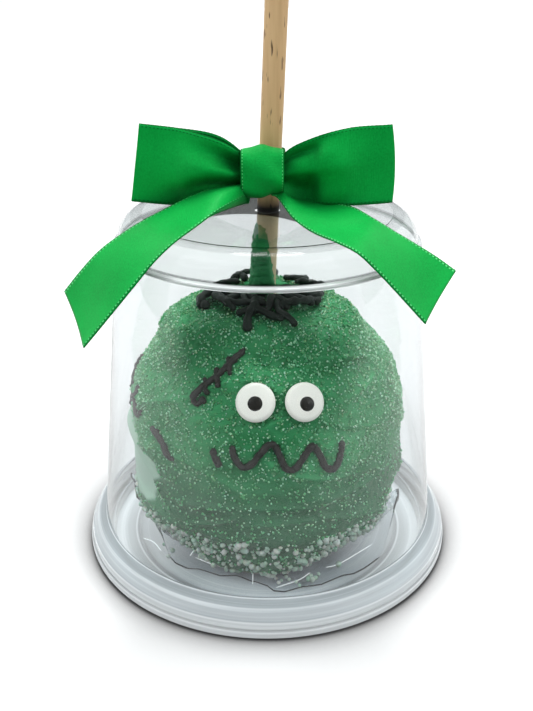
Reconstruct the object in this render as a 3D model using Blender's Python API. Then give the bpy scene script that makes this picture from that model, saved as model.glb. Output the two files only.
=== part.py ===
"""A sugar-coated apple on a stick, in a clear dome with a ribbon bow.

All sizes below are in millimetres; the mesh helper turns them into metres.
+Z is up, -Y is the front, and the origin is the centre of the base's flat underside.
"""

import math
import random

import bmesh
import bpy
import numpy as np
from mathutils import Matrix, Vector

MM = 0.001
GAP = 0.3  # clearance between neighbouring pieces
TURN_STEPS = 48  # steps round the clear pieces

# clear base
BASE_RADIUS = 58.7
BASE_RIM_HEIGHT = 2.9
FLOOR_TOP = 1.0
RING_RADIUS = 51.6
RING_HEIGHT = 5.0

# clear dome
WALL = 0.8
FOOT_RADIUS = 58.2
FOOT_BOTTOM = BASE_RIM_HEIGHT + GAP
FOOT_LIP_TOP = 5.3
WALL_FOOT = (53.3, 10.0)  # radius and height where the foot turns into the wall
LEDGE = (44.4, 99.3)  # radius and height of the small step near the top
STEP_IN = 0.6
DOME_TOP = 107.8
TOP_RADIUS = 36.8
HOLE_RADIUS = 4.6

# apple
APPLE_RADIUS = 43.4
APPLE_WAIST = 40.0  # height of the widest place
APPLE_BOTTOM = 2.1
APPLE_TOP = 84.3
APPLE_ROUND = 36
APPLE_RINGS = 19
PEARL_COUNT = 84
PEARL_RADIUS = (0.9, 1.4)
PEARL_BAND = (5.0, 22.0)

# stick
STICK_RADIUS = 3.175
STICK_BOTTOM = 34.0
STICK_LENGTH = 152.0
STICK_LEAN = math.radians(2.25)
STICK_AT_HOLE = (0.2, 0.0, DOME_TOP)  # a point on the stick's axis

# candy eyes: azimuth from the front and height
EYES = {"eye_left": (-4.7, 64.6), "eye_right": (14.6, 64.3)}
EYE_RADIUS = 5.4
EYE_THICKNESS = 2.4

# clear film under the apple
FILM_THICKNESS = 0.3

# ribbon bow
RIBBON_WIDTH = 22.0
RIBBON_THICKNESS = 0.5
KNOT_CENTRE = (-1.4, -9.6, 120.6)
KNOT_SIZE = (11.4, 9.6, 13.8)
LOOP_REACH = {-1: 36.0, 1: 34.0}
LOOP_DEPTH = 3.6  # half the distance between a loop's two layers
LOOP_LEAN = 0.09  # how far a loop's end leans in towards its top
BAND_RADIUS = STICK_RADIUS + GAP + 0.5  # middle of the band behind the stick
BAND_HEIGHT = 9.0
BAND_LEG = -6.5  # where the band's ends enter the knot


def clear_scene():
    for old in list(bpy.data.objects):
        bpy.data.objects.remove(old, do_unlink=True)


def make_material(name, colour, roughness, alpha=1.0):
    material = bpy.data.materials.new(name)
    material.use_nodes = True
    shader = material.node_tree.nodes["Principled BSDF"]
    shader.inputs["Base Color"].default_value = (*colour, 1.0)
    shader.inputs["Roughness"].default_value = roughness
    shader.inputs["Metallic"].default_value = 0.0
    shader.inputs["Alpha"].default_value = alpha
    material.diffuse_color = (*colour, alpha)
    return material


def add_object(name, mesh, material=None):
    obj = bpy.data.objects.new(name, mesh)
    bpy.context.scene.collection.objects.link(obj)
    if material:
        mesh.materials.clear()
        mesh.materials.append(material)
    return obj


def finish_bmesh(bm, name, smooth_angle=40.0):
    """The bmesh as a closed mesh in metres, with its faces pointing out."""
    bmesh.ops.remove_doubles(bm, verts=bm.verts, dist=1e-4)
    bmesh.ops.recalc_face_normals(bm, faces=bm.faces)
    bmesh.ops.scale(bm, vec=(MM, MM, MM), verts=bm.verts)
    mesh = bpy.data.meshes.new(name)
    bm.to_mesh(mesh)
    bm.free()
    mesh.shade_smooth()
    mesh.set_sharp_from_angle(angle=math.radians(smooth_angle))
    return mesh


def turned_mesh(name, profile, closed, steps=TURN_STEPS):
    """A profile of (radius, height) points spun round the Z axis."""
    bm = bmesh.new()
    verts = [bm.verts.new((r, 0.0, z)) for r, z in profile]
    ends = verts[1:] + verts[:1] if closed else verts[1:]
    edges = [bm.edges.new(pair) for pair in zip(verts, ends)]
    bmesh.ops.spin(
        bm, geom=verts + edges, cent=(0, 0, 0), axis=(0, 0, 1), angle=math.tau, steps=steps, use_merge=True
    )
    return finish_bmesh(bm, name)


def grid_mesh(name, points, wrap_rows=False, wrap_columns=False, caps=()):
    """A mesh through a (rows, columns, 3) array of points, closed round and capped on the rows asked for."""
    rows, columns = points.shape[:2]
    bm = bmesh.new()
    verts = [[bm.verts.new(point) for point in row] for row in points]
    for i in range(rows if wrap_rows else rows - 1):
        for j in range(columns if wrap_columns else columns - 1):
            lower = verts[i]
            upper = verts[(i + 1) % rows]
            k = (j + 1) % columns
            bm.faces.new((lower[j], lower[k], upper[k], upper[j]))
    for row in caps:
        bm.faces.new(verts[row])
    return finish_bmesh(bm, name)


def applied(obj):
    """The object with its modifiers made part of its mesh."""
    bpy.context.view_layer.update()
    graph = bpy.context.evaluated_depsgraph_get()
    mesh = bpy.data.meshes.new_from_object(obj.evaluated_get(graph))
    obj.modifiers.clear()
    obj.data = mesh
    return obj


def thickened(obj, thickness):
    solidify = obj.modifiers.new("thickness", "SOLIDIFY")
    solidify.thickness = thickness * MM
    solidify.offset = 0.0
    return applied(obj)


def fuse(base, parts):
    """Joins the parts to the base with one Boolean union, then removes them."""
    group = bpy.data.collections.new(base.name + "_parts")
    bpy.context.scene.collection.children.link(group)
    for part in parts:
        group.objects.link(part)
    union = base.modifiers.new("fuse", "BOOLEAN")
    union.operation = "UNION"
    union.operand_type = "COLLECTION"
    union.collection = group
    union.solver = "EXACT"
    applied(base)
    for part in parts:
        bpy.data.objects.remove(part, do_unlink=True)
    bpy.data.collections.remove(group)
    base.data.set_sharp_from_angle(angle=math.radians(35.0))
    return base


def smooth_step(x):
    x = np.clip(x, 0.0, 1.0)
    return x * x * (3.0 - 2.0 * x)


# ---- clear base and dome


def build_base(material):
    rim = BASE_RADIUS
    ring = RING_RADIUS
    profile = [
        (0.0, 0.0),
        (rim - 0.7, 0.0),
        (rim, 0.7),
        (rim, BASE_RIM_HEIGHT - 0.5),
        (rim - 0.5, BASE_RIM_HEIGHT),
        (rim - 2.2, BASE_RIM_HEIGHT),
        (rim - 2.6, FLOOR_TOP),
        (ring, FLOOR_TOP),
        (ring, RING_HEIGHT),
        (ring - WALL, RING_HEIGHT),
        (ring - WALL, FLOOR_TOP),
        (0.0, FLOOR_TOP),
    ]
    return add_object("base", turned_mesh("base", profile, closed=False), material)


def dome_profile():
    """The dome's outer line from the hole down to the foot, then the inner line back up."""
    inner_top = DOME_TOP - WALL
    shoulder = LEDGE[0] - STEP_IN
    across = shoulder - TOP_RADIUS
    drop = DOME_TOP - LEDGE[1] - 0.8
    outer = [(HOLE_RADIUS, DOME_TOP)]
    inner = [(HOLE_RADIUS, inner_top)]
    for angle in (0.0, 0.5, 1.0, math.pi / 2):
        r = TOP_RADIUS + across * math.sin(angle)
        fall = drop * (1.0 - math.cos(angle))
        outer.append((r, DOME_TOP - fall))
        inner.append((r - WALL * math.sin(angle), inner_top - fall * (drop - WALL) / drop))
    outer += [LEDGE, WALL_FOOT]
    inner += [(LEDGE[0] - WALL, LEDGE[1] - 0.5), (WALL_FOOT[0] - WALL, WALL_FOOT[1] + 0.2)]
    outer += [(WALL_FOOT[0] + 2.6, 8.8), (FOOT_RADIUS, FOOT_LIP_TOP), (FOOT_RADIUS, FOOT_BOTTOM)]
    inner += [(WALL_FOOT[0] + 1.9, 8.1), (FOOT_RADIUS - WALL, FOOT_LIP_TOP - 0.3), (FOOT_RADIUS - WALL, FOOT_BOTTOM)]
    return outer + inner[::-1]


def build_dome(material):
    return add_object("dome", turned_mesh("dome", dome_profile(), closed=True), material)


# ---- apple, its icing and its pearls


def apple_radius(height, azimuth=0.0):
    """Radius of the coated apple: a superellipse above and a boxier one below, slightly lobed."""
    above = np.clip((height - APPLE_WAIST) / (APPLE_TOP - APPLE_WAIST), 0.0, 1.0)
    below = np.clip((APPLE_WAIST - height) / (APPLE_WAIST - APPLE_BOTTOM), 0.0, 1.0)
    upper = (1.0 - above**2.3) ** (1.0 / 2.2)
    lower = (1.0 - below**4.0) ** (1.0 / 4.5)
    lobes = 0.35 * np.sin(5.0 * azimuth + 0.6) + 0.3 * np.sin(2.0 * azimuth + 2.0)
    return APPLE_RADIUS * upper * lower + lobes * upper * lower


def on_apple(azimuth_deg, height, lift=0.0):
    """The point on the coating at an azimuth from the front and a height, lifted off it a little."""
    azimuth = math.radians(azimuth_deg)
    step = 0.5
    radius = float(apple_radius(height, azimuth))
    slope = float(apple_radius(height + step, azimuth) - apple_radius(height - step, azimuth)) / (2.0 * step)
    outward = Vector((math.sin(azimuth), -math.cos(azimuth), -slope)).normalized()
    point = Vector((radius * math.sin(azimuth), -radius * math.cos(azimuth), height))
    return point + outward * lift, outward


def apple_core():
    azimuth = np.linspace(0.0, math.tau, APPLE_ROUND, endpoint=False)
    turn = np.linspace(0.04, math.pi - 0.12, APPLE_RINGS)
    middle = (APPLE_TOP + APPLE_BOTTOM) / 2.0
    height = middle - (APPLE_TOP - APPLE_BOTTOM) / 2.0 * np.cos(turn)
    radius = apple_radius(height[:, None], azimuth[None, :])
    points = np.stack(
        [radius * np.sin(azimuth), -radius * np.cos(azimuth), np.broadcast_to(height[:, None], radius.shape)], axis=-1
    )
    return grid_mesh("apple", points, wrap_columns=True, caps=(0, -1))


def tube(name, path, radius, sides=5):
    """A strand along a path of points, with pinched ends."""
    path = np.array(path, dtype=float)
    along = np.gradient(path, axis=0)
    along /= np.linalg.norm(along, axis=1)[:, None]
    across = np.cross(along, (0.13, 0.31, 0.94))
    across /= np.linalg.norm(across, axis=1)[:, None]
    other = np.cross(along, across)
    share = np.linspace(0.0, 1.0, len(path))
    size = radius * np.clip(np.sin(math.pi * (0.06 + 0.88 * share)) * 2.2, 0.45, 1.0)
    turn = np.linspace(0.0, math.tau, sides, endpoint=False)
    ring = across[:, None] * np.cos(turn)[None, :, None] + other[:, None] * np.sin(turn)[None, :, None]
    points = path[:, None] + ring * size[:, None, None]
    return add_object(name, grid_mesh(name, points, wrap_columns=True, caps=(0, -1)))


MOUTH = {"from_deg": -13.5, "to_deg": 29.5, "height": 50.0, "swing": 3.2, "waves": 2.75, "fall": -1.6}
STROKES = {
    "mouth_tick": ((-21.0, 51.0), (-19.5, 48.5), (-17.5, 46.2)),
    "scar": ((-33.4, 62.2), (-29.0, 66.6), (-24.5, 69.0), (-20.0, 71.6), (-13.0, 75.4)),
    "scar_stitch_1": ((-32.0, 70.0), (-26.0, 64.0)),
    "scar_stitch_2": ((-28.0, 72.5), (-21.5, 66.5)),
    "scar_stitch_3": ((-22.0, 74.5), (-17.0, 69.0)),
    "side_seam": ((-52.0, 50.4), (-47.0, 49.0), (-38.5, 43.4)),
    "side_stitch_1": ((-49.0, 45.0), (-43.5, 50.5)),
    "side_stitch_2": ((-65.0, 51.5), (-60.0, 47.5)),
    "side_stitch_3": ((-82.0, 54.0), (-77.0, 46.0)),
}


def mouth_path(count=27):
    share = np.linspace(0.0, 1.0, count)
    azimuth = MOUTH["from_deg"] + (MOUTH["to_deg"] - MOUTH["from_deg"]) * share
    wave = MOUTH["swing"] * np.cos(math.tau * MOUTH["waves"] * share)
    height = MOUTH["height"] + wave + MOUTH["fall"] * share
    return [on_apple(a, z, 0.2)[0] for a, z in zip(azimuth, height)]


def tangle_strands(rng, count=17, reach=21.0):
    """Piped strands that wander over the apple's crown, round the stick."""
    strands = []
    for index in range(count):
        azimuth = math.tau * index / count + rng.uniform(-0.25, 0.25)
        length = rng.uniform(0.75, 1.1) * reach
        bend = rng.uniform(-0.7, 0.7)
        hop = rng.uniform(1.0, 3.4)
        path = []
        for share in np.linspace(0.0, 1.0, 8):
            r = 5.5 + (length - 5.5) * share
            turn = azimuth + bend * share + 0.18 * math.sin(5.0 * share + index)
            crown = APPLE_TOP - 4.4 * (r / 21.0) ** 2.4
            z = crown + 0.5 + hop * math.sin(math.pi * min(1.0, share * 1.15))
            path.append((r * math.sin(turn), -r * math.cos(turn), z))
        strands.append(tube("strand", path, rng.uniform(0.95, 1.3)))
    return strands


def pearls(rng):
    """Sugar pearls in a band round the foot, denser towards the bottom."""
    low, high = PEARL_BAND
    golden = math.pi * (3.0 - math.sqrt(5.0))
    found = []
    for index in range(PEARL_COUNT):
        share = (index + rng.uniform(0.0, 0.8)) / PEARL_COUNT
        height = low + (high - low) * share**1.6
        azimuth = math.degrees(index * golden) % 360.0
        size = rng.uniform(*PEARL_RADIUS)
        centre, _ = on_apple(azimuth, height, 0.5 * size)
        bm = bmesh.new()
        bmesh.ops.create_icosphere(bm, subdivisions=1, radius=size, matrix=Matrix.Translation(centre))
        found.append(add_object("pearl", finish_bmesh(bm, "pearl")))
    return found


def stick_point(height):
    """The stick's axis at a height."""
    x, y, z = STICK_AT_HOLE
    return Vector((x + (height - z) * math.tan(STICK_LEAN), y, height))


def crown_collar():
    """Coating that climbs the stick: a low cone round it and a long tongue on its left."""
    cone = turned_mesh("collar", [(0.0, 78.0), (8.5, 80.0), (5.6, 85.6), (4.4, 88.5), (0.0, 88.5)], False, 16)
    bm = bmesh.new()
    bmesh.ops.create_uvsphere(bm, u_segments=14, v_segments=10, radius=1.0)
    bmesh.ops.scale(bm, vec=(3.5, 3.4, 19.5), verts=bm.verts)
    bmesh.ops.translate(bm, vec=stick_point(84.0) + Vector((-1.15, -1.0, 0.0)), verts=bm.verts)
    return [add_object("collar", cone), add_object("tongue", finish_bmesh(bm, "tongue"))]


def stick_rod(name, radius, low, high, material=None):
    bottom = stick_point(low)
    top = stick_point(high)
    bm = bmesh.new()
    bmesh.ops.create_cone(
        bm, cap_ends=True, segments=24, radius1=radius, radius2=radius, depth=(top - bottom).length
    )
    bmesh.ops.rotate(bm, cent=(0, 0, 0), matrix=Matrix.Rotation(STICK_LEAN, 3, "Y"), verts=bm.verts)
    bmesh.ops.translate(bm, vec=(top + bottom) / 2.0, verts=bm.verts)
    return add_object(name, finish_bmesh(bm, name), material)


def build_apple(material):
    rng = random.Random(7)
    apple = add_object("apple", apple_core(), material)
    parts = [tube(name, [on_apple(*spot, 0.2)[0] for spot in spots], 1.05) for name, spots in STROKES.items()]
    parts.append(tube("mouth", mouth_path(), 1.05))
    parts += tangle_strands(rng) + pearls(rng) + crown_collar()
    fuse(apple, parts)
    bore = stick_rod("stick_bore", STICK_RADIUS + GAP, STICK_BOTTOM - GAP, APPLE_TOP + 40.0)
    cut = apple.modifiers.new("bore", "BOOLEAN")
    cut.operation = "DIFFERENCE"
    cut.object = bore
    cut.solver = "EXACT"
    applied(apple)
    bpy.data.objects.remove(bore, do_unlink=True)
    apple.data.materials.clear()
    apple.data.materials.append(material)
    return apple


def build_stick(material):
    top = STICK_BOTTOM + STICK_LENGTH * math.cos(STICK_LEAN)
    stick = stick_rod("stick", STICK_RADIUS, STICK_BOTTOM, top, material)
    bevel = stick.modifiers.new("worn ends", "BEVEL")
    bevel.width = 0.4 * MM
    bevel.segments = 2
    bevel.limit_method = "ANGLE"
    bevel.angle_limit = math.radians(60.0)
    return stick


def build_eye(name, material):
    """A candy disc with a domed face, standing just off the coating and facing out."""
    azimuth, height = EYES[name]
    profile = [(0.0, 0.0), (0.85, 0.0), (1.0, 0.25), (1.0, 0.55), (0.88, 0.82), (0.55, 0.96), (0.0, 1.0)]
    disc = [(r * EYE_RADIUS, z * EYE_THICKNESS) for r, z in profile]
    mesh = turned_mesh(name, disc, closed=False, steps=24)
    point, outward = on_apple(azimuth, height, GAP + 0.35)
    facing = outward.to_track_quat("Z", "Y").to_matrix().to_4x4()
    mesh.transform(Matrix.Translation(point * MM) @ facing)
    return add_object(name, mesh, material)


# ---- clear film under the apple


def build_film(material):
    """A crumpled square of film: flat under the apple, its corners turned up round the foot."""
    round_steps = 40
    azimuth = np.linspace(0.0, math.tau, round_steps, endpoint=False)[None, :]
    out = np.array([0.12, 0.45, 0.72, 0.84, 0.92, 1.0])[:, None]
    corner = np.clip(np.cos(4.0 * azimuth + math.pi), -0.2, 1.0)
    reach = 43.0 + 4.6 * np.clip(corner, 0.0, 1.0)
    lift = 1.2 + 13.0 * np.clip(corner, 0.0, 1.0)
    crumple = 1.1 * np.sin(9.0 * azimuth + 1.0) + 0.9 * np.sin(13.0 * azimuth)
    turned_up = smooth_step((out - 0.72) / 0.28)
    radius = reach * out + 0.6 * crumple * turned_up
    height = FLOOR_TOP + GAP + FILM_THICKNESS / 2.0 + lift * turned_up**1.5 + 0.25 * crumple * turned_up
    height = height + np.where(turned_up > 0.0, 0.25 * np.sin(7.0 * azimuth), 0.0) * (1.0 - turned_up) * turned_up
    points = np.stack([radius * np.sin(azimuth), -radius * np.cos(azimuth), height + 0.0 * azimuth], axis=-1)
    film = add_object("film", grid_mesh("film", points, wrap_columns=True, caps=(0,)))
    thickened(film, FILM_THICKNESS)
    film.data.materials.append(material)
    return film


# ---- ribbon bow

TAILS = {
    "tail_left": {
        "route": ((-5, -12, 117.5), (-33, -30, 111), (-44, -32, 97), (-52, -31, 86)),
        "roll_deg": (-12, 38),
        "pinch": 0.5,
    },
    "tail_right": {
        "route": ((4, -12, 117), (11, -36, 117), (26, -29, 111), (46, -33, 93)),
        "roll_deg": (10, -30),
        "pinch": 0.3,
    },
}


def bezier(route, share):
    a, b, c, d = np.array(route, dtype=float)
    t = share[:, None]
    point = (1 - t) ** 3 * a + 3 * (1 - t) ** 2 * t * b + 3 * (1 - t) * t * t * c + t**3 * d
    along = (1 - t) ** 2 * (b - a) + 2 * (1 - t) * t * (c - b) + t * t * (d - c)
    return point, along / np.linalg.norm(along, axis=1)[:, None]


def build_tail(name):
    """A flat ribbon along a curve, rolling over as it falls and pinched where it leaves the knot."""
    facts = TAILS[name]
    share = np.linspace(0.0, 1.0, 15)
    centre, along = bezier(facts["route"], share)
    level = np.cross(along, (0.0, 0.0, 1.0))
    level /= np.linalg.norm(level, axis=1)[:, None]
    rise = np.cross(level, along)
    roll = np.radians(facts["roll_deg"][0] + (facts["roll_deg"][1] - facts["roll_deg"][0]) * share)[:, None]
    across = level * np.cos(roll) + rise * np.sin(roll)
    spread = facts["pinch"] + (1.0 - facts["pinch"]) * smooth_step(share / 0.4)
    side = np.linspace(-0.5, 0.5, 4) * RIBBON_WIDTH
    points = centre[:, None] + across[:, None] * (side[None, :] * spread[:, None])[..., None]
    return thickened(add_object(name, grid_mesh(name, points)), RIBBON_THICKNESS)


def build_loop(side):
    """A closed loop of ribbon standing on edge: out along one side, round, and back behind."""
    turn = np.linspace(0.0, math.tau, 26, endpoint=False)
    reach = LOOP_REACH[side]
    near = KNOT_CENTRE[0] + side * 2.0
    middle = (near + side * reach) / 2.0
    half = abs(side * reach - near) / 2.0
    out = 0.5 - 0.5 * np.cos(turn)
    fullness = np.sin(turn) * (0.45 + 0.55 * smooth_step(out * 1.6))
    x = middle - side * half * np.cos(turn)
    y = KNOT_CENTRE[1] + 1.2 - LOOP_DEPTH * fullness
    spread = smooth_step(np.abs(x - KNOT_CENTRE[0]) / 19.0)
    centre = 120.5 + 2.1 * spread
    half_height = 5.6 + 5.2 * spread
    across = np.linspace(-1.0, 1.0, 4)
    z = centre[:, None] + half_height[:, None] * across[None, :]
    lean = -LOOP_LEAN * side * (z - 122.0) * out[:, None]
    points = np.stack([x[:, None] + lean, y[:, None] + 0.0 * z, z], axis=-1)
    mesh = grid_mesh("loop", points, wrap_rows=True)
    return thickened(add_object("loop", mesh), RIBBON_THICKNESS)


def build_knot():
    """The knot: a plump rounded block of wrapped ribbon."""
    bm = bmesh.new()
    bmesh.ops.create_cube(bm, size=1.0)
    bmesh.ops.scale(bm, vec=KNOT_SIZE, verts=bm.verts)
    bmesh.ops.bevel(
        bm, geom=bm.edges[:], offset=3.0, segments=3, profile=0.5, affect="EDGES", clamp_overlap=True
    )
    bmesh.ops.translate(bm, vec=KNOT_CENTRE, verts=bm.verts)
    return add_object("bow", finish_bmesh(bm, "bow"))


def build_band():
    """The gathered band that ties the knot round the back of the stick, in a U."""
    turn = np.linspace(0.0, math.pi, 13)
    x = np.concatenate([[BAND_RADIUS], BAND_RADIUS * np.cos(turn), [-BAND_RADIUS]])
    y = np.concatenate([[BAND_LEG], BAND_RADIUS * np.sin(turn), [BAND_LEG]])
    level = np.linspace(-0.5, 0.5, 3) * BAND_HEIGHT
    at = stick_point(KNOT_CENTRE[2])
    leaning = x[:, None] + math.tan(STICK_LEAN) * level[None, :] + at.x
    points = np.stack([leaning, at.y + y[:, None] + 0.0 * leaning, at.z + level[None, :] + 0.0 * leaning], axis=-1)
    return thickened(add_object("band", grid_mesh("band", points)), RIBBON_THICKNESS)


def build_bow(material):
    bow = build_knot()
    parts = [build_loop(-1), build_loop(1), build_tail("tail_left"), build_tail("tail_right"), build_band()]
    fuse(bow, parts)
    bow.data.materials.clear()
    bow.data.materials.append(material)
    return bow


def main():
    clear_scene()
    clear = make_material("clear plastic", (0.92, 0.96, 0.96), 0.08, 0.3)
    build_base(clear)
    build_dome(clear)
    build_film(make_material("clear film", (0.9, 0.93, 0.93), 0.15, 0.3))
    build_apple(make_material("green sugar coating", (0.05, 0.22, 0.09), 0.6))
    build_stick(make_material("birch dowel", (0.62, 0.45, 0.29), 0.6))
    candy = make_material("white candy", (0.85, 0.85, 0.82), 0.4)
    for name in EYES:
        build_eye(name, candy)
    build_bow(make_material("green satin", (0.01, 0.3, 0.05), 0.35))


main()
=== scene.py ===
import math

import bpy
import numpy as np
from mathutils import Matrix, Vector


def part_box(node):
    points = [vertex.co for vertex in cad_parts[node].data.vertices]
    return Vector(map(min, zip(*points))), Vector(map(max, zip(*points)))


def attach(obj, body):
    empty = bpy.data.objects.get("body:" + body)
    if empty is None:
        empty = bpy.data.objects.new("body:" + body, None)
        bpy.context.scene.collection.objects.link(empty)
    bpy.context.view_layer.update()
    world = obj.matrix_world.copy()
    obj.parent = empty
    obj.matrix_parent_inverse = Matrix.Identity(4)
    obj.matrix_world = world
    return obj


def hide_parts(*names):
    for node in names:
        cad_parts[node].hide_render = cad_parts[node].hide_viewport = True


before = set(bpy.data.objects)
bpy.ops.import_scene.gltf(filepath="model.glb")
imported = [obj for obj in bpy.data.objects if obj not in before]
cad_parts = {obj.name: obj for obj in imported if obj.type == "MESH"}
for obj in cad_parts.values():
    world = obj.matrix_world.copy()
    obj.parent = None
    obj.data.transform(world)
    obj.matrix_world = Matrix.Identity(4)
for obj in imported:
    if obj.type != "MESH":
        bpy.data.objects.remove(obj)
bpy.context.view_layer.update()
mm = 0.001
tau = math.tau
print("frame loaded:", len(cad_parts), "nodes")

# mesh helpers: every shape below is worked out in millimetres


def gridFaces(rows, columns, wrapRows=False, wrapColumns=False):
    # one four-cornered face between each point of a grid and its next neighbours
    i = np.arange(rows if wrapRows else rows - 1)[:, None]
    j = np.arange(columns if wrapColumns else columns - 1)[None, :]
    iNext, jNext = (i + 1) % rows, (j + 1) % columns
    corners = [i * columns + j, i * columns + jNext, iNext * columns + jNext, iNext * columns + j]
    return np.stack(corners, axis=-1).reshape(-1, 4)


def signedVolume(points, faces):
    # sum over each face's two triangles of a . (b x c) / 6
    a, b, c, d = (points[faces[:, k]] for k in range(4))
    return float((a * np.cross(b, c)).sum() + (a * np.cross(c, d)).sum()) / 6


def makeMesh(name, points, faces, caps=(), uv=None, tone=None):
    points = np.asarray(points, dtype=float).reshape(-1, 3)
    flat = [np.asarray(faces).reshape(-1)] + [np.asarray(cap) for cap in caps]
    sizes = np.concatenate([np.full(len(faces), np.shape(faces)[1])] + [[len(cap)] for cap in caps])
    corners = np.concatenate(flat).astype(np.int32)
    mesh = bpy.data.meshes.new(name)
    mesh.vertices.add(len(points))
    mesh.vertices.foreach_set("co", (points * mm).astype(np.float32).ravel())
    mesh.loops.add(len(corners))
    mesh.loops.foreach_set("vertex_index", corners)
    mesh.polygons.add(len(sizes))
    mesh.polygons.foreach_set("loop_start", np.concatenate([[0], np.cumsum(sizes)[:-1]]).astype(np.int32))
    mesh.update(calc_edges=True)
    mesh.validate()
    if uv is not None:
        layer = mesh.uv_layers.new(name="UVMap")
        layer.data.foreach_set("uv", np.asarray(uv, dtype=np.float32).reshape(-1, 2)[corners].ravel())
    if tone is not None:
        values = mesh.attributes.new("tone", "FLOAT", "POINT")
        values.data.foreach_set("value", np.asarray(tone, dtype=np.float32).ravel())
    return mesh


def addObject(name, data):
    made = bpy.data.objects.new(name, data)
    bpy.context.scene.collection.objects.link(made)
    return made


def addPiece(mesh, material, replaces=None, sharpDeg=40):
    # the piece takes its mesh's name
    piece = addObject(mesh.name, mesh)
    mesh.materials.append(material)
    mesh.shade_smooth()
    if sharpDeg:
        mesh.set_sharp_from_angle(angle=math.radians(sharpDeg))
    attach(piece, "root")
    if replaces:
        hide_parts(replaces)
    return piece


def thicken(piece, thickness):
    # half of the thickness goes to each side
    solidify = piece.modifiers.new("thickness", "SOLIDIFY")
    solidify.thickness = thickness * mm
    solidify.offset = 0


def closed(rings, wrapRows=False):
    # the faces of a closed shape from rings of points and the caps of its two ends, all turned outwards
    rows, columns = rings.shape[:2]
    faces = gridFaces(rows, columns, wrapRows, True)
    ring = np.arange(columns)
    caps = [] if wrapRows else [ring[::-1], ring + (rows - 1) * columns]
    if signedVolume(rings.reshape(-1, 3), faces) < 0:
        return faces[:, ::-1], [cap[::-1] for cap in caps]
    return faces, caps


def solidGrid(name, rings, wrapRows=False, tone=None):
    return makeMesh(name, rings, *closed(rings, wrapRows), tone=tone)


def roundTurn(steps):
    # directions from the axis, all the way round
    turn = np.linspace(0, tau, steps, endpoint=False)
    return np.stack([np.sin(turn), -np.cos(turn), 0 * turn], axis=-1)


def turned(profile, steps):
    # a profile of radius and height carried round the upright axis
    profile = np.asarray(profile, dtype=float)[:, None, :]
    return roundTurn(steps) * profile[..., :1] + np.array([0, 0, 1]) * profile[..., 1:]


def roundedLine(corners, steps=5):
    # each corner is radius, height, fillet: the fillet is a quadratic curve that pulls the line in at the corner
    corners = np.asarray(corners, dtype=float)
    line = [corners[0, :2]]
    share = np.linspace(0, 1, steps)[:, None]
    for before, here, after in zip(corners[:-2], corners[1:-1], corners[2:]):
        back, ahead = before[:2] - here[:2], after[:2] - here[:2]
        reach = min(here[2], 0.45 * np.linalg.norm(back), 0.45 * np.linalg.norm(ahead))
        start = here[:2] + back / np.linalg.norm(back) * reach
        end = here[:2] + ahead / np.linalg.norm(ahead) * reach
        curve = (1 - share) ** 2 * start + 2 * (1 - share) * share * here[:2] + share**2 * end
        line += list(curve if reach > 0 else here[None, :2])
    return np.array(line + [corners[-1, :2]])


def smoothStep(x):
    x = np.clip(x, 0, 1)
    return x * x * (3 - 2 * x)


def waves(points, wavelength, seed, stretch=(1, 1, 1), count=16):
    # a sum of cosine waves that cross the space in random directions, scaled to a spread of one
    rng = np.random.default_rng(seed)
    direction = rng.normal(size=(count, 3))
    direction /= np.linalg.norm(direction, axis=1)[:, None]
    direction *= tau / wavelength * rng.uniform(0.6, 1.5, (count, 1)) / np.array(stretch)
    phase = rng.uniform(0, tau, count)
    return np.cos(np.asarray(points) @ direction.T + phase).sum(axis=-1) / math.sqrt(count / 2)


def strand(path, radius, sides=12, seed=0, lumpy=0.08):
    # rings of points round a path: radius times a slow swell, tapered to a rounded end
    path = np.asarray(path, dtype=float)
    along = np.gradient(path, axis=0)
    along /= np.linalg.norm(along, axis=1)[:, None]
    across = np.cross(along, (0.13, 0.31, 0.94))
    across /= np.linalg.norm(across, axis=1)[:, None]
    other = np.cross(along, across)
    travelled = travelledAlong(path)
    fromEnd = np.minimum(travelled, travelled[-1] - travelled) / radius
    size = radius * np.sqrt(np.clip(1 - (1 - np.clip(fromEnd, 0, 1)) ** 2, 0.04, 1))
    size = size * (1 + lumpy * waves(path, 3.2, seed))
    turn = np.linspace(0, tau, sides, endpoint=False)
    ring = across[:, None] * np.cos(turn)[None, :, None] + other[:, None] * np.sin(turn)[None, :, None]
    return path[:, None] + ring * size[:, None, None]


def joined(strands):
    # several closed strands as one set of points, faces and caps
    points, faces, caps, start = [], [], [], 0
    for rings in strands:
        ownFaces, ends = closed(rings)
        points.append(rings.reshape(-1, 3))
        faces.append(ownFaces + start)
        caps += [end + start for end in ends]
        start += len(points[-1])
    return np.concatenate(points), np.concatenate(faces), caps


def travelledAlong(path):
    # the distance along a line to each of its points
    return np.concatenate([[0], np.cumsum(np.linalg.norm(np.diff(path, axis=0), axis=1))])


def curvedPath(spots, count):
    # a Catmull-Rom line through the spots, spaced evenly
    spots = np.asarray(spots, dtype=float)
    padded = np.concatenate([[2 * spots[0] - spots[1]], spots, [2 * spots[-1] - spots[-2]]])
    place = np.linspace(0, len(spots) - 1.0001, count)
    k = place.astype(int)
    t = (place - k)[:, None]
    a, b, c, d = padded[k], padded[k + 1], padded[k + 2], padded[k + 3]
    return 0.5 * (2 * b + (c - a) * t + (2 * a - 5 * b + 4 * c - d) * t**2 + (3 * b - a - 3 * c + d) * t**3)


# material helpers


def feed(tree, node, inputs):
    # links a socket, or sets a plain value; a colour gets its alpha here
    for name, value in inputs.items():
        socket = node.inputs[name]
        if isinstance(value, bpy.types.NodeSocket):
            tree.links.new(value, socket)
        else:
            socket.default_value = (*value, 1) if socket.type == "RGBA" else value


def addNode(tree, kind, inputs=None, **settings):
    made = tree.nodes.new("ShaderNode" + kind)
    for name, value in settings.items():
        setattr(made, name, value)
    feed(tree, made, inputs or {})
    return made


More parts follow.
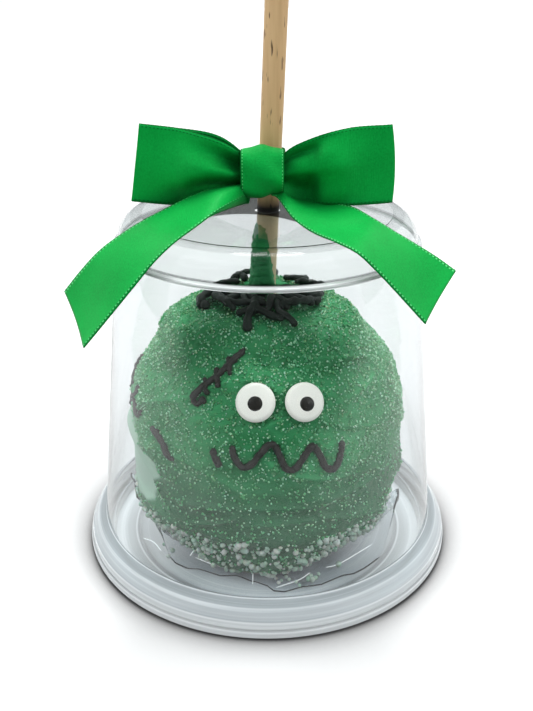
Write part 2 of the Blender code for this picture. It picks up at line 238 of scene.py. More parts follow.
def calc(tree, operation, *values, **settings):
    return addNode(tree, "Math", dict(enumerate(values)), operation=operation, **settings).outputs[0]


def remap(tree, value, low, high, toLow=0, toHigh=1, **settings):
    inputs = {"Value": value, "From Min": low, "From Max": high, "To Min": toLow, "To Max": toHigh}
    return addNode(tree, "MapRange", inputs, **settings).outputs[0]


def mix(tree, share, first, second, blend="MIX"):
    return addNode(tree, "Mix", {0: share, 6: first, 7: second}, data_type="RGBA", blend_type=blend).outputs[2]


def noise(tree, vector, scale, detail):
    return addNode(tree, "TexNoise", {"Vector": vector, "Scale": scale, "Detail": detail}).outputs["Fac"]


def scaled(tree, vector, scale):
    return addNode(tree, "Mapping", {"Vector": vector, "Scale": scale}).outputs[0]


def parts(tree, vector):
    return addNode(tree, "SeparateXYZ", {0: vector}).outputs


def objectPlace(tree):
    return addNode(tree, "TexCoord").outputs["Object"]


def toneOf(tree):
    return addNode(tree, "Attribute", attribute_name="tone").outputs["Fac"]


def distanceOut(tree, place):
    # the place with its height left out, and its distance from the upright axis
    level = addNode(tree, "VectorMath", {0: place, 1: (1, 1, 0)}, operation="MULTIPLY").outputs[0]
    return level, addNode(tree, "VectorMath", {0: level}, operation="LENGTH").outputs["Value"]


def colourRamp(tree, factor, stops):
    ramp = addNode(tree, "ValToRGB", {"Fac": factor})
    elements = ramp.color_ramp.elements
    elements[0].position, elements[-1].position = stops[0][0], stops[-1][0]
    for place, _ in stops[1:-1]:
        elements.new(place)
    for element, (_, colour) in zip(elements, stops):
        element.color = (*colour, 1)
    return ramp.outputs["Color"]


def newMaterial(name, settings):
    material = bpy.data.materials.new(name)
    material.use_nodes = True
    shader = material.node_tree.nodes["Principled BSDF"]
    feed(material.node_tree, shader, settings)
    return material, material.node_tree, shader


def addBump(tree, shader, height, strength, distance):
    bump = addNode(tree, "Bump", {"Strength": strength, "Distance": distance, "Height": height})
    feed(tree, shader, {"Normal": bump.outputs["Normal"]})


def makeGroup(name, inputs, outputs):
    # an input's default tells its kind: none for a vector, three numbers for a colour, one for a plain value
    group = bpy.data.node_groups.new(name, "ShaderNodeTree")
    for label, value in inputs.items():
        kind = "Vector" if value is None else "Color" if isinstance(value, tuple) else "Float"
        socket = group.interface.new_socket(label, in_out="INPUT", socket_type="NodeSocket" + kind)
        if value is not None:
            socket.default_value = (*value, 1) if kind == "Color" else value
    for label, kind in outputs.items():
        group.interface.new_socket(label, in_out="OUTPUT", socket_type="NodeSocket" + kind)
    return group, group.nodes.new("NodeGroupInput").outputs, group.nodes.new("NodeGroupOutput")


def makeGrainGroup():
    # fine grain and slow drift mixed between two colours, with the grain's height for a bump
    inputs = {"Vector": None, "Light Colour": (0.8, 0.8, 0.8), "Deep Colour": (0.2, 0.2, 0.2)}
    inputs |= {"Grain Scale": 900, "Drift Scale": 60, "Grain Amount": 0.5}
    group, given, wanted = makeGroup("grainAndDrift", inputs, {"Colour": "Color", "Height": "Float"})
    grain = noise(group, given["Vector"], given["Grain Scale"], 3)
    drift = remap(group, noise(group, given["Vector"], given["Drift Scale"], 2), 0.32, 0.68)
    mixed = addNode(group, "Mix", {0: given["Grain Amount"], 2: drift, 3: grain}).outputs[0]
    feed(group, wanted, {"Colour": mix(group, mixed, given["Deep Colour"], given["Light Colour"]), "Height": grain})
    return group


def makeStreakGroup():
    # faint upright streaks left in clear plastic
    group, given, wanted = makeGroup("mouldStreaks", {"Vector": None}, {"Height": "Float"})
    feed(group, wanted, {"Height": noise(group, scaled(group, given["Vector"], (1, 1, 0.25)), 70, 2)})
    return group


def makePaintedShadeGroup():
    # painted shade: one in the open, less where other things stand close by
    group, given, wanted = makeGroup("contactShade", {"Reach": 0.01, "Least": 0.3}, {"Shade": "Color"})
    near = addNode(group, "AmbientOcclusion", {"Distance": given["Reach"]}, samples=12)
    feed(group, wanted, {"Shade": remap(group, near.outputs["AO"], 0.5, 0.92, given["Least"])})
    return group


def makeMarksAndLightGroup(name, marksAndLight):
    # turned marks and painted light: the tone with its painted dark lines, and the painted highlight lines, change with
    # the distance out minus the height, with fine uneven circles over it
    outputs = {"Colour": "Color", "Highlight": "Color", "Height": "Float"}
    group, given, wanted = makeGroup(name, {"Vector": None, "Tint": (1, 1, 1)}, outputs)
    x, _, z = parts(group, given["Vector"])
    level, out = distanceOut(group, given["Vector"])
    place = calc(group, "MULTIPLY", calc(group, "SUBTRACT", out, z), 1 / mm)
    spotX, spotY, _ = parts(group, scaled(group, level, (9, 9, 1)))
    spot = addNode(group, "CombineXYZ", {0: place, 1: spotX, 2: spotY}).outputs[0]
    fine = noise(group, spot, marksAndLight["fine"], 3)
    low, high = marksAndLight["from"], marksAndLight["to"]
    share = remap(group, place, low, high)
    paintedShades, highlights = (
        colourRamp(group, share, [((at - low) / (high - low), (value,) * 3) for at, value in marksAndLight[key]])
        for key in ("paintedShades", "highlights")
    )
    spread = remap(group, fine, 0.35, 0.65, 1 - marksAndLight["uneven"], 1)
    tone = mix(group, 1, mix(group, 1, paintedShades, spread, "MULTIPLY"), given["Tint"], "MULTIPLY")
    # painted glints along the fine circles, added to the painted highlight lines
    glow = mix(group, 1, highlights, remap(group, fine, 0.58, 0.68, 0, marksAndLight["ringHighlight"]), "ADD")
    # painted light: inside the flange the sides are a little lighter than the front
    aside = calc(group, "DIVIDE", calc(group, "ABSOLUTE", x), out)
    aside = remap(group, aside, 0.6, 0.95, 0, marksAndLight["paintedSideLight"])
    aside = calc(group, "MULTIPLY", aside, remap(group, out, 0.0525, 0.049))
    feed(group, wanted, {"Colour": tone, "Highlight": mix(group, 1, glow, aside, "ADD"), "Height": fine})
    return group


grainGroup, streakGroup, paintedShadeGroup = makeGrainGroup(), makeStreakGroup(), makePaintedShadeGroup()


def addGrain(tree, vector, light, deep, grainScale, driftScale, grainAmount):
    inputs = {"Vector": vector, "Light Colour": light, "Deep Colour": deep}
    inputs |= {"Grain Scale": grainScale, "Drift Scale": driftScale, "Grain Amount": grainAmount}
    return addNode(tree, "Group", inputs, node_tree=grainGroup).outputs


# painted shade: the colour darkened where other things stand close by
def addPaintedShade(tree, colour, reach, least):
    near = addNode(tree, "Group", {"Reach": reach, "Least": least}, node_tree=paintedShadeGroup)
    return mix(tree, 1, colour, near.outputs["Shade"], "MULTIPLY")


def makeGrained(name, settings, light, deep, scales, relief):
    # one grained colour, which also glows as painted light where the settings give a strength; scales and relief as
    # addGrain and addBump
    material, tree, shader = newMaterial(name, settings)
    grain = addGrain(tree, objectPlace(tree), light, deep, *scales)
    feed(tree, shader, {"Base Color": grain["Colour"]})
    if "Emission Strength" in settings:
        feed(tree, shader, {"Emission Color": grain["Colour"]})
    addBump(tree, shader, grain["Height"], *relief)
    return material


def makeClear(name, tint, lampTint, roughness, relief, bend, clarity=1, marksAndLight=None, rim=None, shade=None):
    # clear plastic: bends what is seen through it, and lets lamp light through with its own tint, deeper past the rim
    # (start, end and share left); relief is the depth of its streaks or circles, clarity the share that is clear
    settings = {"Base Color": tint, "Roughness": roughness, "Transmission Weight": clarity, "IOR": bend}
    material, tree, shader = newMaterial(name, settings)
    place = objectPlace(tree)
    path = addNode(tree, "LightPath").outputs
    passing = addNode(tree, "BsdfTransparent", {"Color": lampTint})
    if shade:
        # painted shade of the bow: the clear top is darkened where it lies under the bow, a patch behind a curved line
        x, y, z = parts(tree, place)
        across = calc(tree, "SUBTRACT", x, shade["x"] * mm)
        bent = calc(tree, "MULTIPLY_ADD", calc(tree, "MULTIPLY", across, across), shade["bend"] / mm, y)
        inFront = remap(tree, bent, shade["front"] * mm, (shade["front"] + 0.3) * mm)
        behind = remap(tree, bent, shade["back"] * mm, (shade["back"] - 6) * mm)
        level = remap(tree, z, shade["level"] * mm, (shade["level"] + 0.2) * mm)
        both = calc(tree, "MULTIPLY", calc(tree, "MULTIPLY", inFront, behind), level)
        feed(tree, shader, {"Base Color": mix(tree, both, tint, shade["tone"])})
    if marksAndLight:
        drawn = addNode(tree, "Group", {"Vector": place, "Tint": tint}, node_tree=marksAndLight).outputs
        # the painted highlight lines glow through the emission
        feed(tree, shader, {"Base Color": drawn["Colour"], "Emission Color": drawn["Highlight"], "Emission Strength": 1})
    else:
        drawn = addNode(tree, "Group", {"Vector": place}, node_tree=streakGroup).outputs
    addBump(tree, shader, drawn["Height"], 1, relief)
    if rim:
        start, end, share = rim
        past = remap(tree, distanceOut(tree, place)[1], start * mm, end * mm)
        feed(tree, passing, {"Color": mix(tree, past, lampTint, [share * value for value in lampTint])})
    either = calc(tree, "MAXIMUM", path["Is Shadow Ray"], path["Is Diffuse Ray"])
    mixed = addNode(tree, "MixShader", {0: either, 1: shader.outputs[0], 2: passing.outputs[0]})
    feed(tree, tree.nodes["Material Output"], {"Surface": mixed.outputs[0]})
    return material


# camera, floor and soft lights

cameraFacts = {"place": (-0.00026, -0.2496, 0.1758), "downDeg": 24.68, "lens": 44.51, "sensor": 36, "nearest": 0.001}
stageFacts = {
    "size": 6, "height": -0.0001, "colour": (0.75, 0.75, 0.75), "bounce": (0.24, 0.24, 0.24), "lift": (1.1, 1.1, 1.1),
    "dark": (0.02, 0.02, 0.02), "darkFrom": -0.13, "darkTo": -0.24, "darkDepth": 3.5, "reach": 0.018, "least": 0.12,
}
lampFacts = {
    "above": {"towards": (0, 0.36, 1), "strength": 1.9, "softDeg": 22},
    "sideLeft": {"towards": (-1, -0.5, 0.95), "strength": 1.01, "softDeg": 46},
    "sideRight": {"towards": (1, -0.5, 0.95), "strength": 1.1, "softDeg": 46},
}
studioFacts = {
    "stops": (
        (0.12, (0.07, 0.075, 0.075)), (0.42, (0.36, 0.37, 0.38)), (0.72, (0.68, 0.70, 0.72)), (1, (0.76, 0.77, 0.78)),
    ),
    "behind": 0.3, "upwards": 0.5, "backdrop": (1.02, 1.02, 1.02),
}


def addCamera():
    data = bpy.data.cameras.new("camera")
    data.lens, data.sensor_width, data.clip_start = cameraFacts["lens"], cameraFacts["sensor"], cameraFacts["nearest"]
    camera = addObject("camera", data)
    camera.location = cameraFacts["place"]
    camera.rotation_euler = (math.radians(90 - cameraFacts["downDeg"]), 0, 0)
    bpy.context.scene.camera = camera


def addFloor():
    half, height = stageFacts["size"] / 2 / mm, stageFacts["height"] / mm
    corners = [[-half, -half, height], [half, -half, height], [half, half, height], [-half, half, height]]
    material, tree, shader = newMaterial("white sweep", {"Roughness": 0.7, "Specular IOR Level": 0.2})
    place, path = objectPlace(tree), addNode(tree, "LightPath").outputs
    pale = stageFacts["colour"]
    colour = addGrain(tree, place, pale, [0.985 * value for value in pale], 400, 3, 0.4)["Colour"]
    colour = mix(tree, path["Is Diffuse Ray"], colour, stageFacts["bounce"])
    # glossy plastic mirrors a dark strip ahead of the set, but not through its own far wall
    past = remap(tree, parts(tree, place)["Y"], stageFacts["darkFrom"], stageFacts["darkTo"])
    shallow = calc(tree, "LESS_THAN", path["Transmission Depth"], stageFacts["darkDepth"])
    mirrored = calc(tree, "MULTIPLY", calc(tree, "MULTIPLY", past, path["Is Glossy Ray"]), shallow)
    colour = mix(tree, mirrored, colour, stageFacts["dark"])
    # seen by the camera the floor is lifted, with a painted contact shadow where the set stands close by
    shaded = mix(tree, 1, colour, stageFacts["lift"], "MULTIPLY")
    shaded = addPaintedShade(tree, shaded, stageFacts["reach"], stageFacts["least"])
    feed(tree, shader, {"Base Color": mix(tree, path["Is Camera Ray"], colour, shaded)})
    mesh = makeMesh("floor", corners, np.array([[0, 1, 2, 3]]))
    mesh.materials.append(material)
    addObject("floor", mesh)


def addLamp(name, facts):
    data = bpy.data.lights.new(name, "SUN")
    data.energy, data.angle = facts["strength"], math.radians(facts["softDeg"])
    addObject(name, data).rotation_euler = (-Vector(facts["towards"])).to_track_quat("-Z", "Y").to_euler()


def addWorld():
    # a white studio that is dark straight ahead and straight behind, with plain white behind the set
    world = bpy.data.worlds.new("studio")
    world.use_nodes = True
    tree = world.node_tree
    x, y, z = parts(tree, addNode(tree, "TexCoord").outputs["Generated"])
    place = calc(tree, "MULTIPLY_ADD", calc(tree, "MAXIMUM", y, 0), studioFacts["behind"], calc(tree, "ABSOLUTE", x))
    place = calc(tree, "MULTIPLY_ADD", calc(tree, "MULTIPLY", z, z), studioFacts["upwards"], place)
    seen = colourRamp(tree, place, studioFacts["stops"])
    colour = mix(tree, addNode(tree, "LightPath").outputs["Is Camera Ray"], seen, studioFacts["backdrop"])
    feed(tree, tree.nodes["Background"], {"Color": colour})
    bpy.context.scene.world = world


addCamera()
addFloor()
addWorld()
for lampName, facts in lampFacts.items():
    addLamp(lampName, facts)
bpy.context.scene.view_settings.view_transform = "Standard"
print("camera, floor and lights made")

# clear base and dome

turnSteps = 176
baseFacts = {"radius": 58.7, "rimHeight": 2.9, "floorTop": 1, "ring": 51.6, "ringHeight": 5, "wall": 0.8}
domeFacts = {
    "wall": 0.5, "hole": 3.8, "top": 107.8, "topRadius": 36.8, "ledge": (44.4, 99.3), "bead": (44.95, 99.35, 0.4),
    "foot": 58.2, "footEnd": 3.2,
}


def baseLine():
    rim, ring, wall = baseFacts["radius"], baseFacts["ring"], baseFacts["wall"]
    top, floor = baseFacts["rimHeight"], baseFacts["floorTop"]
    corners = [
        (0.02, 0, 0),
        (rim - 0.7, 0, 0.3),
        (rim, 0.7, 0.3),
        (rim, top - 0.5, 0.3),
        (rim - 0.5, top, 0.3),
        (rim - 2.2, top, 0.3),
        (rim - 2.6, floor, 0.5),
        (ring, floor, 0.4),
        (ring, baseFacts["ringHeight"], 0.35),
        (ring - wall, baseFacts["ringHeight"], 0.35),
        (ring - wall, floor, 0.4),
        (0.02, floor, 0),
    ]
    return roundedLine(corners)


def domeLine():
    # the outer line from the hole to the foot; the inner one is the same line moved in by the wall along its normal
    ledgeRadius, ledgeHeight = domeFacts["ledge"]
    top, wall, foot, footEnd = domeFacts["top"], domeFacts["wall"], domeFacts["foot"], domeFacts["footEnd"]
    shoulder = ledgeRadius - 0.6
    across, drop = shoulder - domeFacts["topRadius"], top - ledgeHeight - 0.8
    corners = [(domeFacts["hole"], top, 0), (domeFacts["topRadius"] - 0.4, top, 0.2)]
    for angle in np.linspace(0.05, math.pi / 2, 26):
        corners.append((domeFacts["topRadius"] + across * math.sin(angle), top - drop * (1 - math.cos(angle)), 0))
    radius, height, half = domeFacts["bead"]
    corners += [(shoulder, height + half + 0.15, 0.1), (radius - 0.15, height + half, 0.3)]
    corners += [(radius + 0.1, height - half, 0.3), (ledgeRadius + 0.15, height - half - 0.3, 0.2)]
    corners += [(ledgeRadius + 0.35, 96.3, 0.8), (53.3, 10, 0.5), (55.9, 8.8, 1.2)]
    corners += [(foot, 5.3, 0.7), (foot, footEnd, 0)]
    outer = roundedLine(corners)
    along = np.gradient(outer, axis=0)
    normal = np.stack([along[:, 1], -along[:, 0]], axis=-1)
    inner = outer + normal / np.linalg.norm(normal, axis=1)[:, None] * wall
    inner[0], inner[-1] = (domeFacts["hole"], top - wall), (foot - wall, footEnd)
    return np.concatenate([outer, inner[::-1]])


# marks and painted light by the distance out minus the height: the painted shades are dark lines and the highlights
# bright lines where the plastic's steps and edges would bend and mirror light; on the foot, 43 is the wall's foot, 53
# the flange's edge, 55.5 the gap over the rim and 58.7 the rim's foot; on the shoulder, -72 is the top's edge and -56
# the bead
footMarksAndLight = {
    "from": 36, "to": 60, "fine": 1.1, "uneven": 0.09, "ringHighlight": 0.05, "paintedSideLight": 0.15,
    "paintedShades": (
        (36, 1), (41, 1), (41.7, 0.55), (42.5, 0.45), (42.9, 1), (43.4, 0.78), (45.6, 0.8), (47, 1), (52.2, 0.97),
        (54.9, 0.95), (55.2, 0.8), (55.8, 0.8), (56.1, 0.98), (58, 0.95), (58.5, 0.5),
    ),
    "highlights": (
        (36, 0), (42.8, 0), (43.1, 0.2), (43.5, 0), (46.8, 0), (47.1, 0.1), (47.5, 0.05), (51.6, 0.05), (52.1, 0),
        (52.7, 0.22), (53.2, 0.12), (55, 0.11), (55.6, 0.07), (56.2, 0.2), (56.8, 0.1), (57.8, 0.12), (58.3, 0),
    ),
}
shoulderMarksAndLight = {
    "from": -72, "to": -55.5, "fine": 0.5, "uneven": 0.03, "ringHighlight": 0, "paintedSideLight": 0,
    "paintedShades": (
        (-72, 0.8), (-67.6, 0.8), (-66.9, 0.97), (-63.2, 0.97), (-62.2, 0.92), (-57.1, 0.92), (-56.95, 0.32),
        (-56.2, 0.32),
    ),
    "highlights": ((-72, 0), (-55.5, 0)),
}
footGroup = makeMarksAndLightGroup("footMarksAndLight", footMarksAndLight)
shoulderGroup = makeMarksAndLightGroup("shoulderMarksAndLight", shoulderMarksAndLight)
# painted shade of the bow on the clear top: the patch's curve, its reach and how dark it is
bowShade = {"x": -7, "bend": 0.036, "front": -4.7, "back": 22, "level": 106.7, "tone": (0.08, 0.085, 0.08)}
clearPlastic = makeClear(
    "clear plastic", tint=(0.89, 0.91, 0.915), lampTint=(0.972, 0.978, 0.978), roughness=0.015, relief=0.00004,
    bend=1.4, shade=bowShade,
)
clearShoulder = makeClear(
    "clear shoulder plastic", tint=(0.885, 0.915, 0.91), lampTint=(0.955, 0.965, 0.965), roughness=0.03,
    relief=0.00002, bend=1.16, marksAndLight=shoulderGroup,
)
clearBead = makeClear(
    "clear bead plastic", tint=(0.85, 0.88, 0.88), lampTint=(0.9, 0.91, 0.91), roughness=0.04, relief=0.00002,
    bend=1.2, clarity=0.6,
)
clearFoot = makeClear(
    "moulded foot plastic", tint=(0.87, 0.945, 0.975), lampTint=(0.15, 0.16, 0.17), roughness=0.04, relief=0.00008,
    bend=1.3, clarity=0.62, marksAndLight=footGroup,
)
clearBase = makeClear(
    "clear base plastic", tint=(0.88, 0.955, 0.985), lampTint=(0.92, 0.93, 0.94), roughness=0.03, relief=0.00008,
    bend=1.3, clarity=0.55, marksAndLight=footGroup, rim=(51, 55, 0.1),
)


def addClearPieces():
    addPiece(solidGrid("clearBase", turned(baseLine(), turnSteps)), clearBase, "base", 50)
    dome = solidGrid("clearDome", turned(domeLine(), turnSteps), wrapRows=True)
    centres = np.empty(len(dome.polygons) * 3)
    dome.polygons.foreach_get("center", centres)
    x, y, z = centres.reshape(-1, 3).T / mm
    out = np.hypot(x, y)
    moulded = (out > 52.6) & (z < 11.8)
    shoulder = (z > 100) & (out > np.where(z < 107.4, 33.8, 35.3))
    bead = (abs(z - domeFacts["bead"][1]) < 0.7) & (out > 42.8)
    addPiece(dome, clearPlastic, "dome", 50)
    for material in (clearFoot, clearShoulder, clearBead):
        dome.materials.append(material)
    dome.polygons.foreach_set("material_index", np.where(bead, 3, moulded + 2 * shoulder).astype(np.int32))


addClearPieces()
print("clear base and dome made")

# coated apple

appleFacts = {"radius": 43.2, "waist": 40, "bottom": 2.1, "top": 84.3, "columns": 420, "rows": 206}
coatFacts = {"drape": 0.6, "ridge": 1, "pebble": 0.10, "sunk": 0.3, "bareTone": 0.75}
bareFacts = {"azimuthDeg": -77, "height": 34, "halfDeg": 29, "halfHeight": 15}


def appleRadius(height, azimuth):
    # a superellipse above the waist and a boxier one below it, with slight lobes round it and a narrower foot
    above = np.clip((height - appleFacts["waist"]) / (appleFacts["top"] - appleFacts["waist"]), 0, 1)
    below = np.clip((appleFacts["waist"] - height) / (appleFacts["waist"] - appleFacts["bottom"]), 0, 1)
    roundness = (1 - above**2.07) ** (1 / 2.2) * (1 - below**4) ** (1 / 4.5)
    lobes = 0.35 * np.sin(5 * azimuth + 0.6) + 0.3 * np.sin(2 * azimuth + 2)
    lobes = lobes - 0.8 * np.clip(np.sin(azimuth), 0, 1) ** 2 - 1.3 * smoothStep((25 - height) / 13)
    return (appleFacts["radius"] + lobes) * roundness


def appleMiddle():
    # the middle of the apple's height, and half of its height
    top, bottom = appleFacts["top"], appleFacts["bottom"]
    return (top + bottom) / 2, (top - bottom) / 2


def bareness(azimuth, height):
    # one inside the smooth patch that the sugar missed, none outside it
    turn = (np.degrees(azimuth) - bareFacts["azimuthDeg"] + 180) % 360 - 180
    edge = 0.10 * np.sin(height * 0.55) + 0.07 * np.sin(height * 1.3 + 1)
    far = (turn / bareFacts["halfDeg"]) ** 2 + ((height - bareFacts["height"]) / bareFacts["halfHeight"]) ** 2
    return smoothStep((1 - far + edge) / 0.25)


drapeLines = (
    (-2, 17, 76.2, -1, 1.3, 0.8), (-1, 19, 73.2, -1.5, 1.1, -1.1), (2, 15, 70.5, 0.5, 1.2, 0.7),
    (-7, 10, 68, 2, 0.9, 0.6), (-10, 38, 33, 2, 1.2, 0.7), (20, 34, 27.5, -1.5, 1.1, 0.7), (-22, 30, 22.5, 1, 1, 0.6),
    (30, 22, 37, 2.5, 1.1, 0.6), (48, 26, 43.5, -2, 1, 0.5), (-35, 20, 78, 1, 1.2, 0.5), (150, 40, 48, 2, 1.3, 0.7),
    (200, 36, 30, -2, 1.2, 0.7),
)  # folds where the coating slid: azimuth, half width, height, slope, thickness, relief


def coatRelief(points, azimuth, height):
    # level drapes in the coating, a few sharp level ridges and a fine pebble
    drape = waves(points, 17, 3, (1.8, 1.8, 0.8))
    ridge = np.clip(1 - np.abs(waves(points, 26, 11, (2.4, 2.4, 0.7))) * 3, 0, 1) ** 2
    pebble = waves(points, 1.7, 5)
    bare = bareness(azimuth, height)
    turn = (azimuth + math.pi) % tau - math.pi
    for at, half, level, slope, wide, size in drapeLines:
        away = (turn - math.radians(at)) / math.radians(half)
        line = height - level - slope * away - 0.8 * np.sin(5 * away + level)
        ridge = ridge + size / coatFacts["ridge"] * np.exp(-((line / wide) ** 2)) * smoothStep(2 * (1 - np.abs(away)))
    relief = coatFacts["drape"] * drape + coatFacts["ridge"] * ridge + coatFacts["pebble"] * pebble * (1 - bare)
    return relief - coatFacts["sunk"] * bare


def appleSpot(azimuth, height, lift=0):
    # points on the coating, moved out along the surface's normal by its relief and the lift
    azimuth, height = np.broadcast_arrays(np.asarray(azimuth, float), np.asarray(height, float))
    radius = appleRadius(height, azimuth)
    slope = appleRadius(height + 0.25, azimuth) - appleRadius(height - 0.25, azimuth)
    slope = np.clip(slope * 2, -30, 30)
    outward = np.stack([np.sin(azimuth), -np.cos(azimuth), -slope], axis=-1)
    outward /= np.linalg.norm(outward, axis=-1)[..., None]
    points = np.stack([radius * np.sin(azimuth), -radius * np.cos(azimuth), height], axis=-1)
    lifted = coatRelief(points, azimuth, height) + lift
    return points + outward * lifted[..., None], outward


def makeCoating():
    material, tree, shader = newMaterial("green candy coating", {"Roughness": 0.45, "Specular IOR Level": 0.3})
    place = objectPlace(tree)
    height = parts(tree, place)["Z"]
    level = scaled(tree, place, (1, 1, 3.6))
    grain = addGrain(tree, level, (0.056, 0.42, 0.155), (0.009, 0.165, 0.047), 1100, 42, 0.32)
    # deeper low down, paler in the smooth patch, brownish where it pooled at the foot
    lower = remap(tree, height, 0.050, 0.032, interpolation_type="SMOOTHSTEP")
    deeper = mix(tree, lower, (1, 1, 1), (0.86, 0.56, 0.68))
    colour = mix(tree, 1, grain["Colour"], deeper, "MULTIPLY")
    colour = mix(tree, toneOf(tree), colour, (0.56, 0.78, 0.65))
    colour = mix(tree, remap(tree, height, 0.0062, 0.0035), colour, (0.52, 0.5, 0.40))
    # painted shade in the coating's hollows and where sugar, icing and eyes stand close
    feed(tree, shader, {"Base Color": addPaintedShade(tree, colour, 0.003, 0.45)})
    addBump(tree, shader, grain["Height"], 0.8, 0.0003)
    return material


def addApple():
    azimuth = np.linspace(0, tau, appleFacts["columns"], endpoint=False)[None, :]
    turn = np.linspace(0.04, math.pi - 0.12, appleFacts["rows"])[:, None]
    middle, half = appleMiddle()
    height = middle - half * np.cos(turn)
    points, _ = appleSpot(azimuth, height)
    points[..., 2] = np.maximum(points[..., 2], appleFacts["bottom"])
    tone = coatFacts["bareTone"] * bareness((azimuth + math.pi) % tau - math.pi, height)
    addPiece(solidGrid("appleCoating", points, tone=tone), makeCoating(), "apple", 0)


addApple()
print("coated apple made")

# sugar: fine green grains, clear white grains and pearls round the foot

sugarFacts = {
    "sugarGreen": {"count": 13500, "size": (0.18, 0.38), "sunk": 0.12, "seed": 21},
    "sugarClear": {"count": 15500, "size": (0.13, 0.28), "sunk": 0, "seed": 22},
}
pearlFacts = {"large": (740, 0.58, 1.06), "small": (900, 0.30, 0.6), "low": 4, "high": 21, "seed": 31}
loosePearls = (
    (2.6, -35.4), (4.2, -36.4), (5.6, -35), (6.6, -35.9), (3.4, -37.6), (8.6, -37.2), (12.3, -35.9), (13.6, -36.3),
    (13.1, -34.7), (14.6, -35.4), (15.6, -33.4), (9.6, -38.7), (-30, -22), (-33, -18.5), (-31, -25), (22, -29),
    (38, 6), (-36, 9), (10, 36.5), (-8, 37.5),
)  # pearls that fell on the sheet, x and y
cubeCorners = np.array([[x, y, z] for z in (-1, 1) for y in (-1, 1) for x in (-1, 1)], dtype=float)
cubeFaces = np.array([[0, 2, 3, 1], [4, 5, 7, 6], [0, 1, 5, 4], [2, 6, 7, 3], [0, 4, 6, 2], [1, 3, 7, 5]])


def randomTurns(rng, count):
    # rotation matrices from random unit quaternions
    q = rng.normal(size=(count, 4))
    w, x, y, z = (q / np.linalg.norm(q, axis=1)[:, None]).T
    rows = [
        [1 - 2 * (y * y + z * z), 2 * (x * y - z * w), 2 * (x * z + y * w)],
        [2 * (x * y + z * w), 1 - 2 * (x * x + z * z), 2 * (y * z - x * w)],
        [2 * (x * z - y * w), 2 * (y * z + x * w), 1 - 2 * (x * x + y * y)],
    ]
    return np.array(rows).transpose(2, 0, 1)


def scattered(rng, centres, sizes, shape, faces, squash=0.35):
    # one copy of the shape at each centre, stretched unevenly and turned at random
    count = len(centres)
    stretch = rng.uniform(1 - squash, 1 + squash, (count, 1, 3))
    turned3 = np.einsum("nij,nkj->nki", randomTurns(rng, count), shape[None] * stretch)
    points = centres[:, None] + turned3 * sizes[:, None, None]
    allFaces = faces[None] + (np.arange(count) * len(shape))[:, None, None]
    tone = np.repeat(rng.uniform(0, 1, count), len(shape))
    return points.reshape(-1, 3), allFaces.reshape(-1, faces.shape[1]), tone


def spreadOverApple(rng, count):
    # azimuth and height with the same chance for every square millimetre
    turn = np.linspace(0.16, math.pi - 0.16, 400)
    middle, half = appleMiddle()
    height = middle - half * np.cos(turn)
    radius = appleRadius(height, 0)
    area = np.concatenate([[0], np.cumsum(np.hypot(np.diff(radius), np.diff(height)) * (radius[1:] + radius[:-1]))])
    height = np.interp(rng.uniform(0, area[-1], count), area, height)
    return rng.uniform(-math.pi, math.pi, count), height


def makeSugar(name, light, deep, roughness, glow, clear=0):
    settings = {"Roughness": roughness, "IOR": 1.5, "Transmission Weight": clear}
    settings |= {"Subsurface Weight": glow, "Subsurface Scale": 0.001}
    material, tree, shader = newMaterial(name, settings)
    middle = [0.5 * (a + b) for a, b in zip(light, deep)]
    picked = colourRamp(tree, toneOf(tree), [(0, deep), (0.6, middle), (1, light)])
    grain = addGrain(tree, objectPlace(tree), (1, 1, 1), (0.72, 0.8, 0.75), 2600, 300, 0.6)
    feed(tree, shader, {"Base Color": mix(tree, 1, picked, grain["Colour"], "MULTIPLY")})
    return material


def addSugar():
    looks = {
        "sugarGreen": makeSugar("green sugar", (0.14, 0.52, 0.24), (0.05, 0.36, 0.13), roughness=0.35, glow=0.35),
        "sugarClear": makeSugar("clear sugar", (0.62, 0.95, 0.72), (0.25, 0.66, 0.38), roughness=0.2, glow=0.35),
    }
    for name, facts in sugarFacts.items():
        rng = np.random.default_rng(facts["seed"])
        azimuth, height = spreadOverApple(rng, facts["count"])
        kept = bareness(azimuth, height) < rng.uniform(0.2, 0.9, len(height))
        kept &= rng.uniform(0, 1, len(height)) < 0.36 + 0.64 * smoothStep((height - 30) / 22)
        azimuth, height = azimuth[kept], height[kept]
        sizes = rng.uniform(*facts["size"], len(height))
        centres, _ = appleSpot(azimuth, height, sizes * 0.5 - facts["sunk"])
        points, faces, tone = scattered(rng, centres, sizes, cubeCorners * 0.8, cubeFaces)
        addPiece(makeMesh(name, points, faces, tone=tone), looks[name], sharpDeg=30)


def roundedLump():
    # a cube with each side split in four, its points pulled onto a ball
    place, faces = {}, []
    for axis in range(3):
        for side in (-1, 1):
            for a in (-1, 0):
                for b in (-1, 0):
                    face = []
                    for da, db in ((0, 0), (1, 0), (1, 1), (0, 1)):
                        spot = [0, 0, 0]
                        spot[axis] = side
                        spot[(axis + 1) % 3] = a + da
                        spot[(axis + 2) % 3] = b + db
                        face.append(place.setdefault(tuple(spot), len(place)))
                    faces.append(face if side > 0 else face[::-1])
    points = np.array(list(place), dtype=float)
    return points / np.linalg.norm(points, axis=1)[:, None] ** 0.85, np.array(faces)


